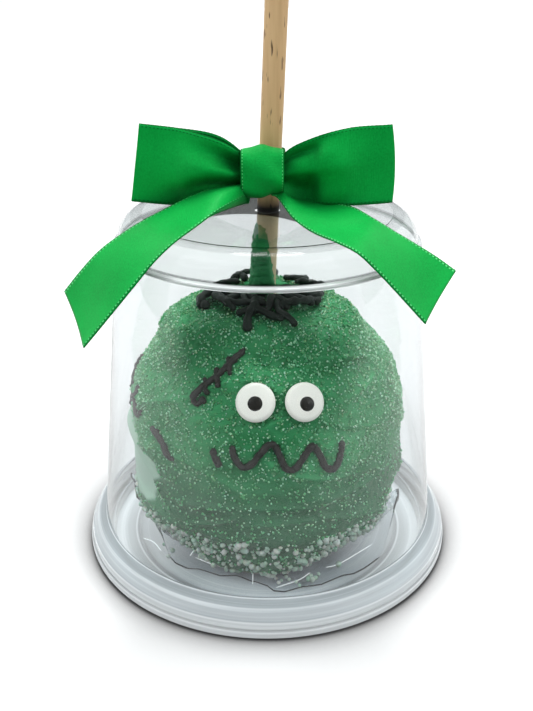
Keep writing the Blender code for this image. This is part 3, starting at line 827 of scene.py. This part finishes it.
def addPearls():
    rng = np.random.default_rng(pearlFacts["seed"])
    shape, faces = roundedLump()
    low, high = pearlFacts["low"], pearlFacts["high"]
    centres, sizes = [], []
    for count, small, large in (pearlFacts["large"], pearlFacts["small"]):
        size = rng.uniform(small, large, count)
        azimuth = rng.uniform(-math.pi, math.pi, count)
        spots, _ = appleSpot(azimuth, low + (high - low) * rng.uniform(0, 1, count) ** 1.5, 0.35 * size)
        centres.append(spots)
        sizes.append(size)
    loose = rng.uniform(0.45, 0.95, len(loosePearls))
    centres.append(np.column_stack([loosePearls, 2.7 + 0.8 * loose]))
    sizes.append(loose)
    points, allFaces, tone = scattered(rng, np.concatenate(centres), np.concatenate(sizes), shape, faces, 0.2)
    look = {"light": (0.95, 0.98, 0.95), "deep": (0.55, 0.82, 0.66), "roughness": 0.2, "glow": 0.2, "clear": 0.25}
    material = makeSugar("white sugar pearls", **look)
    addPiece(makeMesh("sugarPearls", points, allFaces, tone=tone), material, sharpDeg=0)


addSugar()
addPearls()
print("sugar and pearls made")

# piped icing

icingFacts = {"radius": 0.98, "thinShare": 0.75, "crownRadius": 1.15, "lift": 0.25}
icingFinish = {"Roughness": 0.42, "Specular IOR Level": 0.25}
mouthLine = (
    (-13.4, 52.7), (-12.4, 49.9), (-9.3, 46.9), (-6, 47.7), (-3.1, 50.7), (-0.2, 53.3), (2.5, 53.5), (5, 49.6),
    (6.8, 46.6), (10, 46.3), (12.8, 48.9), (15.8, 51.8), (17.6, 52.1), (19.5, 49.4), (21.3, 46), (24.8, 45.2),
    (27.6, 49), (28.6, 52.2),
)  # azimuth from the front in degrees, height
icingLines = {
    "mouthTick": ((-21, 51), (-19.5, 48.5), (-17.5, 46.2)),
    "scar": ((-33.4, 62.2), (-29, 66.6), (-24.5, 69), (-20, 71.6), (-13, 75.4)),
    "scarStitch1": ((-30.8, 68.2), (-28, 65.6), (-26.6, 64.4)),
    "scarStitch2": ((-26.2, 70.9), (-23.4, 68), (-21.8, 66.6)),
    "scarStitch3": ((-20.8, 73.4), (-19, 71.3), (-17.8, 69.6)),
    "scarLoop": ((-33, 62.4), (-30.5, 61.4), (-28.6, 63.2), (-27.4, 62)),
    "sideSeam": ((-52, 50.4), (-47, 49), (-38.5, 43.4)),
    "sideStitch1": ((-69, 58), (-66.5, 53.5), (-62, 50.8), (-59.5, 53)),
    "sideStitch2": ((-88, 62), (-82, 56), (-76, 49)),
}
icing, faceIcing = (
    makeGrained(name, icingFinish, light, deep, (1200, 160, 0.5), (0.6, 0.0002))
    for name, light, deep in (
        ("dark icing", (0.022, 0.034, 0.026), (0.004, 0.010, 0.006)),
        ("greyish dark icing", (0.050, 0.048, 0.044), (0.026, 0.028, 0.025)),
    )
)


def addFace():
    strands = []
    for index, (name, spots) in enumerate({"mouth": mouthLine, **icingLines}.items()):
        mouth = index == 0
        spots = curvedPath(spots, 130 if mouth else 26)
        path, _ = appleSpot(np.radians(spots[:, 0]), spots[:, 1], icingFacts["lift"])
        radius = icingFacts["radius"] * (icingFacts["thinShare"] if "Stitch" in name or "Loop" in name else 1)
        strands.append(strand(path, radius, seed=2 if mouth else index - 1, lumpy=0.05 if mouth else 0.1))
    addPiece(makeMesh("icingFace", *joined(strands)), faceIcing)


crownLines = (
    ((-20.5, -8.1), (-18.8, -5), (-15.5, -1)),
    ((-18, -9.5), (-19.5, -4), (-17, 1)),
    ((-16.6, -2.3), (-13.4, -10), (-8.7, -14.8)),
    ((-15, -3), (-10, -12.5), (-3, -13)),
    ((-2.7, -10), (-4.4, -16.1), (-5.6, -22.6)),
    ((-8.5, -15.5), (-1.5, -16.8), (4.4, -19.4)),
    ((1.2, -11), (3.6, -16.4), (7.6, -21.2)),
    ((-1, -17.2), (2.2, -11.4), (6, -14.6)),
    ((0, -8), (8, -7.6), (16.5, -4.6)),
    ((3.2, -15.4), (9.5, -12.2), (15.9, -8.4)),
    ((-15.8, -0.4), (-8.1, -6), (0, -7)),
    ((-12, -8.5), (-6, -7.5), (-1, -12.5)),
    ((-9.5, -3), (-6, -11.5), (-0.5, -13.8)),
    ((3, -6), (8.5, -11.5), (13.5, -10.5)),
    ((6.5, -4), (11.5, -7.5), (17, -1.5)),
    ((8, 2), (14, 3.5), (18.5, 7)),
    ((5, 6), (11, 8.5), (13, 14.5)),
    ((-6, 5.5), (-9, 11), (-7.5, 17)),
    ((-8, 2.5), (-14, 4.5), (-18.5, 3)),
    ((-1, 7.5), (2.5, 13), (0.5, 19)),
    ((-12, 8), (-5, 9.5), (3, 11.5)),
)  # each strand of the crown by x and y on the apple's top


def addCrown():
    # strands that lie on the coating and hop over one another: height = surface + radius + hop times sin(pi share)
    rng = np.random.default_rng(7)
    strands = []
    levels = np.linspace(60, appleFacts["top"], 200)
    share = np.linspace(0, 1, 30)
    for index, spots in enumerate(crownLines):
        wander = np.stack([np.sin(9 * share + index), np.cos(8 * share + 2 * index)], axis=-1)
        line = curvedPath(spots, 30) + 0.5 * wander
        ground = np.interp(np.hypot(line[:, 0], line[:, 1]), appleRadius(levels, 0)[::-1], levels[::-1])
        radius = icingFacts["crownRadius"] * rng.uniform(0.8, 1.12)
        z = ground + radius * 0.75 + rng.uniform(0.2, 1.7) * np.sin(math.pi * share)
        strands.append(strand(np.column_stack([line, z]), radius, seed=40 + index, lumpy=0.13))
    addPiece(makeMesh("icingCrown", *joined(strands)), icing)


addFace()
addCrown()
print("icing made")

# stick and the coating that climbs it

stickFacts = {"radius": 3.175, "bottom": 34, "length": 152, "leanDeg": 2.25, "atHole": (0.2, 0, 107.8)}
smearFacts = {"bottom": 76, "top": 103.5, "thick": 1.25}


def stickAxis(height):
    x, y, z = stickFacts["atHole"]
    height = np.asarray(height, float)
    return np.stack([x + (height - z) * math.tan(math.radians(stickFacts["leanDeg"])), y + 0 * height, height], axis=-1)


def makeWood():
    material, tree, shader = newMaterial("birch dowel", {"Roughness": 0.55})
    place = objectPlace(tree)
    height = parts(tree, place)["Z"]
    along = scaled(tree, place, (1, 1, 0.05))
    grain = addGrain(tree, along, (0.80, 0.55, 0.285), (0.57, 0.34, 0.15), 1700, 420, 0.5)
    fleck = noise(tree, scaled(tree, place, (1, 1, 0.16)), 1100, 1)
    colour = mix(tree, remap(tree, fleck, 0.66, 0.72), grain["Colour"], (0.13, 0.07, 0.03))
    # painted shade: the wood is darkened where it goes down into the top, under the knot; painted reflection: it is
    # paler inside the dome, as if veiled by the plastic
    knotShade = calc(tree, "MULTIPLY", remap(tree, height, 0.1125, 0.1088), remap(tree, height, 0.1064, 0.1074))
    colour = mix(tree, knotShade, colour, (0.012, 0.010, 0.008))
    colour = mix(tree, remap(tree, height, 0.1066, 0.1060, 0, 0.6), colour, (0.95, 0.86, 0.60))
    feed(tree, shader, {"Base Color": colour})
    addBump(tree, shader, grain["Height"], 0.5, 0.0001)
    return material


def addStick():
    bottom = stickFacts["bottom"]
    top = bottom + stickFacts["length"] * math.cos(math.radians(stickFacts["leanDeg"]))
    edge = np.array([0, 0.05, 0.15, 0.4])
    height = np.concatenate([bottom + edge, np.linspace(40, top - 6, 40), top - edge[::-1]])
    inset = np.concatenate([[0.4, 0.22, 0.08, 0], np.zeros(40), [0, 0.08, 0.22, 0.4]])
    points = stickAxis(height)[:, None] + roundTurn(48)[None] * (stickFacts["radius"] - inset)[:, None, None]
    addPiece(solidGrid("stickDowel", points), makeWood(), "stick")


def addSmear():
    # a skin round the stick, thick on its left and front, thinning to nothing above and on its right
    bottom, top = smearFacts["bottom"], smearFacts["top"]
    height = np.linspace(bottom, top, 90)[:, None]
    turn = np.linspace(0, tau, 64, endpoint=False)[None, :]
    rise = (height - bottom) / (top - bottom)
    side = 0.5 + 0.5 * np.cos(turn + 1)
    limit = 1.08 - 1.1 * rise**1.6 + 0.25 * (side - 0.5) + 0.05 * np.sin(5 * turn + 14 * rise)
    thick = smoothStep((side - 0.30 - 0.5 * rise + 0.4 * (1 - rise)) / 0.35)
    thick = smearFacts["thick"] * thick * smoothStep(limit / 0.2)
    size = stickFacts["radius"] - 0.12 + thick * (1 + 0.9 * (1 - rise) ** 2)
    points = stickAxis(height[:, 0])[:, None] + roundTurn(64) * size[..., None]
    points = points + (0.12 * waves(points, 1.6, 9) * (thick > 0.1))[..., None]
    addPiece(solidGrid("stickSmear", points), makeCoating(), sharpDeg=0)


addStick()
addSmear()
print("stick made")

# candy eyes

eyeFacts = {
    "Left": {"node": "eye_left", "azimuthDeg": -4.7, "height": 64.6, "pupil": (0, -0.38), "size": 2.12},
    "Right": {"node": "eye_right", "azimuthDeg": 14.6, "height": 64.3, "pupil": (0.28, -0.6), "size": 2.1},
}
candyFacts = {"thick": 2.4, "pupilSunk": -0.12, "steps": 64, "pupilSteps": 40}


def addEyes():
    scales, relief = (1400, 200, 0.35), (0.3, 0.00008)
    # the white candy's faint glow is painted light that brightens it beyond what the lamps give
    settings = {"Roughness": 0.4, "Specular IOR Level": 0.3, "Emission Strength": 0.08}
    white = makeGrained("white candy", settings, (0.93, 0.93, 0.86), (0.88, 0.89, 0.82), scales, relief)
    settings = {"Roughness": 0.3, "Specular IOR Level": 0.3}
    black = makeGrained("black candy", settings, (0.02, 0.018, 0.014), (0.008, 0.008, 0.006), scales, relief)
    half = candyFacts["thick"] / 2
    disc = [(0.02, -half, 0), (4.8, -half, 0.3), (5.4, -half + 0.6, 0.6), (5.4, 0.1, 0.8)]
    disc += [(4.7, 0.85, 1), (3, 1.1, 1.2), (0.02, half, 0)]
    for side, facts in eyeFacts.items():
        middle = (np.array([list(corner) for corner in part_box(facts["node"])]) / mm).mean(axis=0)
        azimuth = math.radians(facts["azimuthDeg"])
        slope = float(appleRadius(facts["height"] + 0.5, azimuth) - appleRadius(facts["height"] - 0.5, azimuth))
        outward = Vector((math.sin(azimuth), -math.cos(azimuth), -slope)).normalized()
        across = Vector((0, 0, 1)).cross(outward).normalized()
        axes = np.array([list(across), list(outward.cross(across)), list(outward)])
        points = turned(roundedLine(disc, 7), candyFacts["steps"]) @ axes + middle
        addPiece(solidGrid("eye" + side, points), white, facts["node"])
        size = facts["size"]
        dot = [(0.02, 0.6, 0), (size - 0.17, 0.7, 0.1), (size, 1.2, 0.4), (size - 0.57, 1.62, 0.5), (0.02, 1.75, 0)]
        points = turned(roundedLine(dot, 6), candyFacts["pupilSteps"])
        points = points + np.array([*facts["pupil"], candyFacts["pupilSunk"]])
        addPiece(solidGrid("pupil" + side, points @ axes + middle), black)


addEyes()
print("eyes made")

# clear film under the apple

filmFacts = {"thick": 0.1, "level": 1.5, "least": 1.42, "steps": 260, "rings": 46, "crease": 0.09}
filmOutline = (
    (-24.8, -30.1), (-3.9, -35.8), (2, -40.9), (11.3, -39.5), (26.6, -32.5), (36.9, -22), (43.5, -8), (44.5, 4),
    (38, 22), (24, 36), (6, 42), (-14, 40.5), (-32, 31), (-43, 12), (-45.5, -3), (-40.5, -16.5), (-32.8, -21),
    (-28.5, -27),
)  # corners of the sheet, x and y
# where the sheet stands up: azimuth, half width, rise
filmUpright = ((-78, 26, 17), (-112, 16, 11), (76, 20, 13), (112, 18, 9), (170, 16, 8))
filmCreases = (
    ((-22.5, -25.5), (-17.5, -28.5), (-11, -31.2), (-4.5, -32), (0.8, -35.4)),
    ((-4.4, -32), (-4.4, -38.6)),
    ((-23, -20.5), (-24.2, -24.6)),
    ((-33.5, -22.5), (-36.5, -18), (-40, -16)),
    ((18, -30.5), (22.5, -28.5), (33.5, -19)),
    ((2.6, -40.2), (9.5, -36.5), (13, -33)),
)  # fold lines of the sheet, each with a painted white highlight


def filmHeight(x, y):
    # straight folds: each adds a slope times the distance from its line
    rng = np.random.default_rng(5)
    total = 0 * x
    for _ in range(9):
        angle = rng.uniform(0, math.pi)
        offset = rng.uniform(-34, 34)
        total = total + rng.uniform(-0.09, 0.11) * np.abs(x * math.cos(angle) + y * math.sin(angle) - offset)
    return np.abs(total - total.mean())


def makeFilm():
    look = {"tint": (0.62, 0.65, 0.66), "lampTint": (0.86, 0.87, 0.88), "roughness": 0.05}
    material = makeClear("clear film", **look, relief=0.00002, bend=1.16)
    tree = material.node_tree
    # painted shade: the sheet is tinted grey where it lies flat under the apple, paler where it stands up and in slow
    # patches; painted highlights: its edge and its creases glow white
    tone = toneOf(tree)
    paleness = calc(tree, "ADD", noise(tree, objectPlace(tree), 45, 1), tone, use_clamp=True)
    colour = colourRamp(tree, paleness, [(0.4, (0.50, 0.53, 0.54)), (0.62, (0.74, 0.77, 0.78)), (0.95, (0.93, 0.95, 0.96))])
    glow = colourRamp(tree, tone, [(0.85, (0, 0, 0)), (1, (0.75, 0.78, 0.78))])
    feed(tree, tree.nodes["Principled BSDF"], {"Base Color": colour, "Emission Color": glow, "Emission Strength": 0.3})
    return material


def addFilm():
    azimuth = np.linspace(-math.pi, math.pi, filmFacts["steps"], endpoint=False)
    direction = np.stack([np.sin(azimuth), -np.cos(azimuth)], axis=-1)
    corners = np.array(filmOutline)
    around = np.arctan2(corners[:, 0], -corners[:, 1])
    order = np.argsort(around)
    around, corners = around[order], corners[order]
    nextOne = np.searchsorted(around, azimuth) % len(around)
    a, edge = corners[nextOne - 1], corners[nextOne] - corners[nextOne - 1]
    reach = a[:, 0] * edge[:, 1] - a[:, 1] * edge[:, 0]
    reach = reach / (direction[:, 0] * edge[:, 1] - direction[:, 1] * edge[:, 0])
    out = np.linspace(0.02, 1, filmFacts["rings"])[:, None]
    crumple = (np.abs((azimuth * 17 / tau + 0.4 * np.sin(3 * azimuth)) % 1 - 0.5) * 4 - 1)[None, :]
    degrees = np.degrees(azimuth)
    rise = sum(high * smoothStep(1.6 * (1 - np.abs(degrees - at) / half)) for at, half, high in filmUpright)[None, :]
    turnedUp = smoothStep((out - 0.76) / 0.24)
    radius = reach[None, :] * out + 0.9 * crumple * turnedUp * np.clip(rise / 8, 0, 1)
    x, y = radius * np.sin(azimuth)[None, :], -radius * np.cos(azimuth)[None, :]
    folds = filmHeight(x, y) * smoothStep((radius - 20) / 20)
    height = filmFacts["level"] + folds * 0.45 + (rise + 0.6 * crumple) * turnedUp**1.3
    points = np.stack([x, y, np.maximum(height, filmFacts["least"])], axis=-1)
    creases = []
    for spots in filmCreases:
        line = curvedPath(spots, 24)
        level = np.interp(np.hypot(*line.T), [20, 42], [2.6, 3.6])
        creases.append(strand(np.column_stack([line, level]), filmFacts["crease"], sides=6, lumpy=0))
    creasePoints, creaseFaces, creaseCaps = joined(creases)
    faces = np.concatenate([gridFaces(*radius.shape, False, True), creaseFaces + radius.size])
    caps = [np.arange(radius.shape[1])[::-1]] + [cap + radius.size for cap in creaseCaps]
    # the tone pales the sheet where it stands up; from 0.85 up it paints a white highlight on the edge and the creases
    tone = np.broadcast_to(0.5 * turnedUp, radius.shape).copy()
    tone[-1] = 0.93
    tone = np.concatenate([tone.ravel(), np.ones(len(creasePoints))])
    mesh = makeMesh("clearFilm", np.concatenate([points.reshape(-1, 3), creasePoints]), faces, caps, tone=tone)
    thicken(addPiece(mesh, makeFilm(), "film", 12), filmFacts["thick"])


addFilm()
print("film made")

# satin ribbon bow

ribbonFacts = {
    "width": 22, "thick": 0.35, "picotPitch": 1.1, "edgeRadius": 0.19, "foldScale": 2.1, "sway": 0.8,
    "sheen": (0.06, 1, 0.28),
}
knotFacts = {"centre": (-1.4, -9.6, 120.6), "size": (11.4, 9.6, 13.8), "square": 2.3, "flatWidth": 12}
tieFacts = {"radius": 4, "tall": 9, "leg": -6.5, "flatWidth": 10}
# loops: heights of the upper and lower edge by distance sideways, the end's three corners and how far the layers part
loopFacts = {
    -1: {
        "upper": (
            (4, 124.8), (7.2, 126), (9.6, 127.7), (12.3, 129.3), (15.5, 130.5), (19.5, 131.5), (25, 132.5),
            (34.5, 133.6),
        ),
        "lower": ((4, 114.6), (8, 113.6), (14.7, 112.2), (20, 111.6), (26.5, 111.5), (37.9, 112.5)),
        "ends": (34.5, 36.1, 37.9),
        "parted": (3, 0.66, 0.25),
        "backDrop": 0,
    },
    1: {
        "upper": (
            (1, 124.6), (4, 125.4), (6, 127), (8, 128.2), (11.5, 129.7), (15.5, 131.1), (20.3, 132.3), (25, 133),
            (33.6, 133.4),
        ),
        "lower": ((1, 114.4), (4.6, 113.6), (9, 112.6), (14.6, 111.9), (23.5, 111.6), (34.8, 112.2)),
        "ends": (33.6, 34.9, 34.8),
        "parted": (1.2, 0.8, 0.9),
        "backDrop": 0.7,
    },
}
# the loops' folds: how far the cloth stands forward at places up it (-1 to 1), on lines at distances out from the knot
foldPlaces = (-1, -0.7, -0.45, -0.2, 0.05, 0.3, 0.5, 0.7, 0.88, 1)
foldFacts = {
    -1: {
        0: (-2, -1.9, -1.2, -0.1, 0.4, -0.75, -1.25, -0.7, -0.1, 0),
        4: (-2.2, -2, -1.1, 0.1, 0.6, -0.6, -1.2, -0.65, -0.05, 0),
        9: (-3, -2.5, -1.2, 0.55, 1.1, 0.45, -0.3, -0.35, -0.05, 0),
        16: (-2, -0.6, 0.8, 1.3, 1.2, 0.85, 0.5, 0.2, 0.05, 0),
        22: (-0.6, 0.1, 0.6, 0.75, 0.65, 0.45, 0.25, 0.1, 0.05, 0),
        31: (0,) * 10,
    },
    1: {
        0: (0.4, 0, -0.5, -0.7, 0.2, 0, -0.1, -0.5, -0.3, 0),
        4.6: (-1.1, -1.35, -1.5, -0.8, 0.05, 0.1, -0.3, -0.95, -0.3, 0),
        8.2: (-1.2, -1.4, -1.5, -1, 0.05, -0.05, -0.35, -0.75, -0.25, 0),
        11: (-0.1, -0.15, -0.2, 0.1, 0.75, 0.85, 0.6, 0.1, -0.15, 0),
        16: (0.75, 0.8, 0.8, 0.95, 1.2, 0.95, 0.65, 0.35, 0.1, 0),
        22: (0.4, 0.4, 0.45, 0.5, 0.55, 0.45, 0.3, 0.15, 0.05, 0),
        31: (0,) * 10,
    },
}
tailFacts = {
    "Left": {
        "upper": (
            (-4.4, -8, 116.6), (-6.8, -8.1, 116.8), (-14, -11.5, 116.9), (-21, -12, 114.8), (-27.5, -13.7, 111.9),
            (-33.8, -16.6, 109.2), (-39.8, -19.2, 106), (-45.6, -21.1, 102), (-50.8, -21.9, 96.7), (-56, -21.7, 90.5),
        ),
        "lower": (
            (-4.4, -11.2, 114.9), (-6.7, -11.9, 114.7), (-12.8, -23.2, 114), (-18.3, -30.2, 111.6),
            (-23.7, -35.1, 108.7), (-28.7, -37.5, 104.4), (-33.3, -39.1, 99.2), (-38, -40, 93.7), (-42.9, -40.5, 87.9),
            (-48, -40.3, 81.8),
        ),
        "belly": 1.2,
        "flap": 3.8,
    },
    "Right": {
        "upper": (
            (1.4, -8, 114.9), (3.2, -7.8, 113.9), (9.8, -6.2, 112.3), (16.5, -7.8, 111.9), (22.8, -13.6, 112.3),
            (28.3, -20.3, 110.8), (34, -21.1, 107.5), (39.8, -21.8, 104.2), (45.5, -22.9, 100.9), (50.9, -24.2, 97.3),
        ),
        "lower": (
            (1.4, -11.5, 115), (3.2, -12.2, 114), (7, -20.4, 110.9), (11.9, -29.6, 109.7), (17.2, -36.5, 109.3),
            (22.3, -41.3, 107.9), (26.9, -41.6, 103.7), (31.4, -41.5, 99), (35.9, -41.5, 94.1), (40.4, -41.7, 89.2),
        ),
        "belly": 1,
        "flap": 0.01,
    },
}  # upper and lower edge from the knot out, how far the root bellies out and how far its lower edge is turned under


def makeSatin(name, picot, between):
    settings = {"Roughness": 0.48, "Anisotropic": 0.4}
    settings |= {"Specular IOR Level": 0.32, "Specular Tint": ribbonFacts["sheen"]}
    material, tree, shader = newMaterial(name, settings)
    uv = addNode(tree, "UVMap", uv_map="UVMap").outputs[0]
    across, along, _ = parts(tree, uv)
    # picots along a line just inside each edge
    fromMiddle = calc(tree, "ABSOLUTE", calc(tree, "SUBTRACT", across, 0.5))
    edge = calc(tree, "MULTIPLY", remap(tree, fromMiddle, 0.462, 0.465), remap(tree, fromMiddle, 0.481, 0.478))
    stitch = calc(tree, "SINE", calc(tree, "MULTIPLY", along, tau * ribbonFacts["width"] / ribbonFacts["picotPitch"]))
    cloth = addGrain(tree, objectPlace(tree), (0.006, 0.50, 0.076), (0.0015, 0.22, 0.030), 2000, 60, 0.72)
    colour = mix(tree, edge, cloth["Colour"], mix(tree, remap(tree, stitch, -0.4, 0.4), picot, between))
    # painted shade in the folds and where the bow's parts stand close to one another
    feed(tree, shader, {"Base Color": addPaintedShade(tree, colour, 0.009, 0.38)})
    addBump(tree, shader, noise(tree, scaled(tree, uv, (4, 90, 1)), 1, 2), 0.6, 0.00013)
    return material


satin = makeSatin("green satin", (0.001, 0.09, 0.012), (0.13, 0.76, 0.25))
quietSatin = makeSatin("green satin with quiet edges", (0.002, 0.19, 0.026), (0.006, 0.33, 0.06))
cordFinish = {"Roughness": 0.6, "Specular IOR Level": 0.15, "Specular Tint": ribbonFacts["sheen"]}
cordColours = (0.003, 0.20, 0.032), (0.001, 0.11, 0.016)
edgeCord = makeGrained("ribbon edge cord", cordFinish, *cordColours, (2600, 900, 0.5), (0.4, 0.0001))


def addEdges(name, paths):
    # a thin woven cord along each edge, swelling once for every picot
    cords = []
    for path in paths:
        travelled = travelledAlong(path)
        place = np.linspace(0, travelled[-1], max(4, int(travelled[-1] / 0.28)))
        path = np.stack([np.interp(place, travelled, path[:, k]) for k in range(3)], axis=-1)
        cord = strand(path, ribbonFacts["edgeRadius"], sides=6, lumpy=0)
        swell = 1 + 0.12 * np.sin(tau * place / ribbonFacts["picotPitch"])
        cords.append(path[:, None] + (cord - path[:, None]) * swell[:, None, None])
    return addPiece(makeMesh(name, *joined(cords)), edgeCord, sharpDeg=0)


def ribbonSheet(name, points, replaces=None, u=None):
    # points run along the ribbon in rows and across it in columns; u is the place across, with the hems at 0 and 1
    rows, columns = points.shape[:2]
    travelled = travelledAlong(points[:, columns // 2])
    u = np.linspace(0, 1, columns) if u is None else u
    hems = [int(np.argmin(abs(u))), int(np.argmin(abs(u - 1)))]
    u = np.broadcast_to(u[None, :], (rows, columns))
    v = np.broadcast_to((travelled / ribbonFacts["width"])[:, None], (rows, columns))
    mesh = makeMesh(name, points, gridFaces(rows, columns), uv=np.stack([u, v], axis=-1))
    piece = addPiece(mesh, quietSatin if "Loop" in name else satin, replaces, 0)
    thicken(piece, ribbonFacts["thick"])
    edges = addEdges(name + "Edges", [points[:, hem] for hem in hems])


def addTail(side):
    # a band ruled between its two edges: it bellies out at the knot, sways, and its lower edge is turned under there
    facts = tailFacts[side]
    rows = 90
    upper, lower = curvedPath(facts["upper"], rows), curvedPath(facts["lower"], rows)
    share = np.linspace(0, 1, rows)[:, None]
    half = np.linspace(0, 1, 26)[None, :]
    points = lower[:, None] + (upper - lower)[:, None] * half[..., None]
    outward = np.cross(np.gradient(points[:, 13], axis=0), upper - lower)
    outward *= np.sign(outward[:, 2:]) / np.linalg.norm(outward, axis=1)[:, None]
    belly = facts["belly"] * smoothStep(share / 0.12) * (1 - smoothStep((share - 0.1) / 0.5)) * np.sin(math.pi * half)
    sway = ribbonFacts["sway"] * np.sin(share * 11 + 0.5) * np.sin(math.pi * half)
    points = points + outward[:, None] * (belly + sway)[..., None]
    hang = facts["flap"] * smoothStep(share / 0.05) * (1 - smoothStep((share - 0.08) / 0.22))
    under = points[:, :1] + (hang * np.array([[1, 0.66, 0.33]]))[..., None] * np.array([0, 0.62, -0.78])
    u = np.concatenate([[-0.09, -0.06, -0.03], half[0]])
    ribbonSheet("ribbonTail" + side, np.concatenate([under, points], axis=1), u=u)


def foldDepth(side, away, v):
    # smooth lines through the folds' table, across it and then along it
    table = foldFacts[side]
    across = curvedPath(np.column_stack([foldPlaces, np.array(list(table.values())).T]), 90)
    along = curvedPath(np.column_stack([list(table), across[:, 1:].T]), 90)
    i = np.interp(away, along[:, 0], np.arange(90))
    j = np.interp(v, across[:, 0], np.arange(90))
    i, j = np.broadcast_arrays(i, j)
    lowI, lowJ = np.minimum(i.astype(int), 88), np.minimum(j.astype(int), 88)
    fi, fj, grid = i - lowI, j - lowJ, along[:, 1:]
    near = grid[lowI, lowJ] * (1 - fj) + grid[lowI, lowJ + 1] * fj
    far = grid[lowI + 1, lowJ] * (1 - fj) + grid[lowI + 1, lowJ + 1] * fj
    return near * (1 - fi) + far * fi


def addLoop(side):
    # out along the front, round the end and back behind, standing between its two edge lines, both layers folded alike
    facts = loopFacts[side]
    turn = np.linspace(0.06, tau - 0.06, 150)[:, None]
    kx, ky, _ = knotFacts["centre"]
    near = abs(facts["upper"][0][0])
    out = 0.5 - 0.5 * np.cos(turn)
    v = np.linspace(-1, 1, 34)[None, :]
    upper, lower = (curvedPath(facts[edge], 90) for edge in ("upper", "lower"))
    endUpper, endMiddle, endLower = facts["ends"]
    farUpper = near + (endUpper - near) * out
    farLower = near + (endLower - near) * out
    half = 0.5 + 0.5 * v
    bulge = (endMiddle - 0.5 * (endUpper + endLower)) * out * (1 - v**2)
    x = farLower + (farUpper - farLower) * half + bulge
    zUpper = np.interp(farUpper, upper[:, 0], upper[:, 1])
    zLower = np.interp(farLower, lower[:, 0], lower[:, 1])
    parted, partedTo, leastParted = facts["parted"]
    front = np.where(turn < math.pi, 1, -1)
    swell = np.sin(math.pi * np.clip(out / partedTo, 0, 1)) ** 1.3
    apart = leastParted * np.sqrt(np.clip(1 - out**6, 0, 1)) + (parted - leastParted) * swell
    away = x - abs(kx + side * knotFacts["size"][0] / 2)
    fold = ribbonFacts["foldScale"] * foldDepth(side, np.clip(away, 0, 31), v)
    y = ky + 1.2 - front * apart - fold
    z = zLower + (zUpper - zLower) * half - facts["backDrop"] * (turn > math.pi) * half + 0.264 * fold
    points = np.stack([side * x, y + 0 * x, z + 0 * x], axis=-1)
    name = "ribbonLoopLeft" if side < 0 else "ribbonLoopRight"
    ribbonSheet(name, points, replaces="bow" if side < 0 else None)


def addKnot():
    # a band that runs up the front, over, down the back and under, square at its edges, with a bump on top
    cx, cy, cz = knotFacts["centre"]
    wide, deep, tall = knotFacts["size"]
    square = knotFacts["square"]
    turn = np.linspace(-math.pi, math.pi, 140)[:, None]
    v = np.linspace(-1, 1, 34)[None, :]
    barrel = 1 - 0.06 * v**4
    size = (np.abs(np.cos(turn)) ** square + np.abs(np.sin(turn)) ** square) ** (-1 / square)
    up, front = size * np.sin(turn), size * np.cos(turn)
    above, below = np.clip(up, 0, 1), np.clip(-up, 0, 1)
    x = cx + wide / 2 * v + 0 * turn
    y = cy - (deep / 2) * front * barrel
    z = cz + (tall / 2 - 0.2) * up * barrel
    z = z + above * 0.9 * np.exp(-(((x + 1.6) / 2.2) ** 2)) + below * 1.1 * smoothStep((x + 2) / 3.5)
    fold = 0.6 * np.sin(2.6 * v + 1) + 0.45 * np.sin(3.9 * up + 2.6 * v + 0.6) - 1.6 * below**1.3
    points = np.stack([x, y - fold * np.clip(front, 0, 1), z], axis=-1)
    ribbonSheet("ribbonKnot", points)


def addStickTie():
    # a narrow band from the knot round the back of the stick
    radius, leg = tieFacts["radius"], tieFacts["leg"]
    turn = np.linspace(0, math.pi, 40)
    x = np.concatenate([[radius], radius * np.cos(turn), [-radius]])
    y = np.concatenate([[leg], radius * np.sin(turn), [leg]])
    level = np.linspace(-0.5, 0.5, 12) * tieFacts["tall"]
    at = stickAxis(knotFacts["centre"][2])
    lean = math.tan(math.radians(stickFacts["leanDeg"]))
    across = x[:, None] + lean * level[None, :] + at[0]
    points = np.stack([across, at[1] + y[:, None] + 0 * across, at[2] + level[None, :] + 0 * across], axis=-1)
    ribbonSheet("ribbonTie", points)


addKnot()
addStickTie()
addLoop(-1)
addLoop(1)
addTail("Left")
addTail("Right")
print("bow made")

bpy.context.view_layer.update()
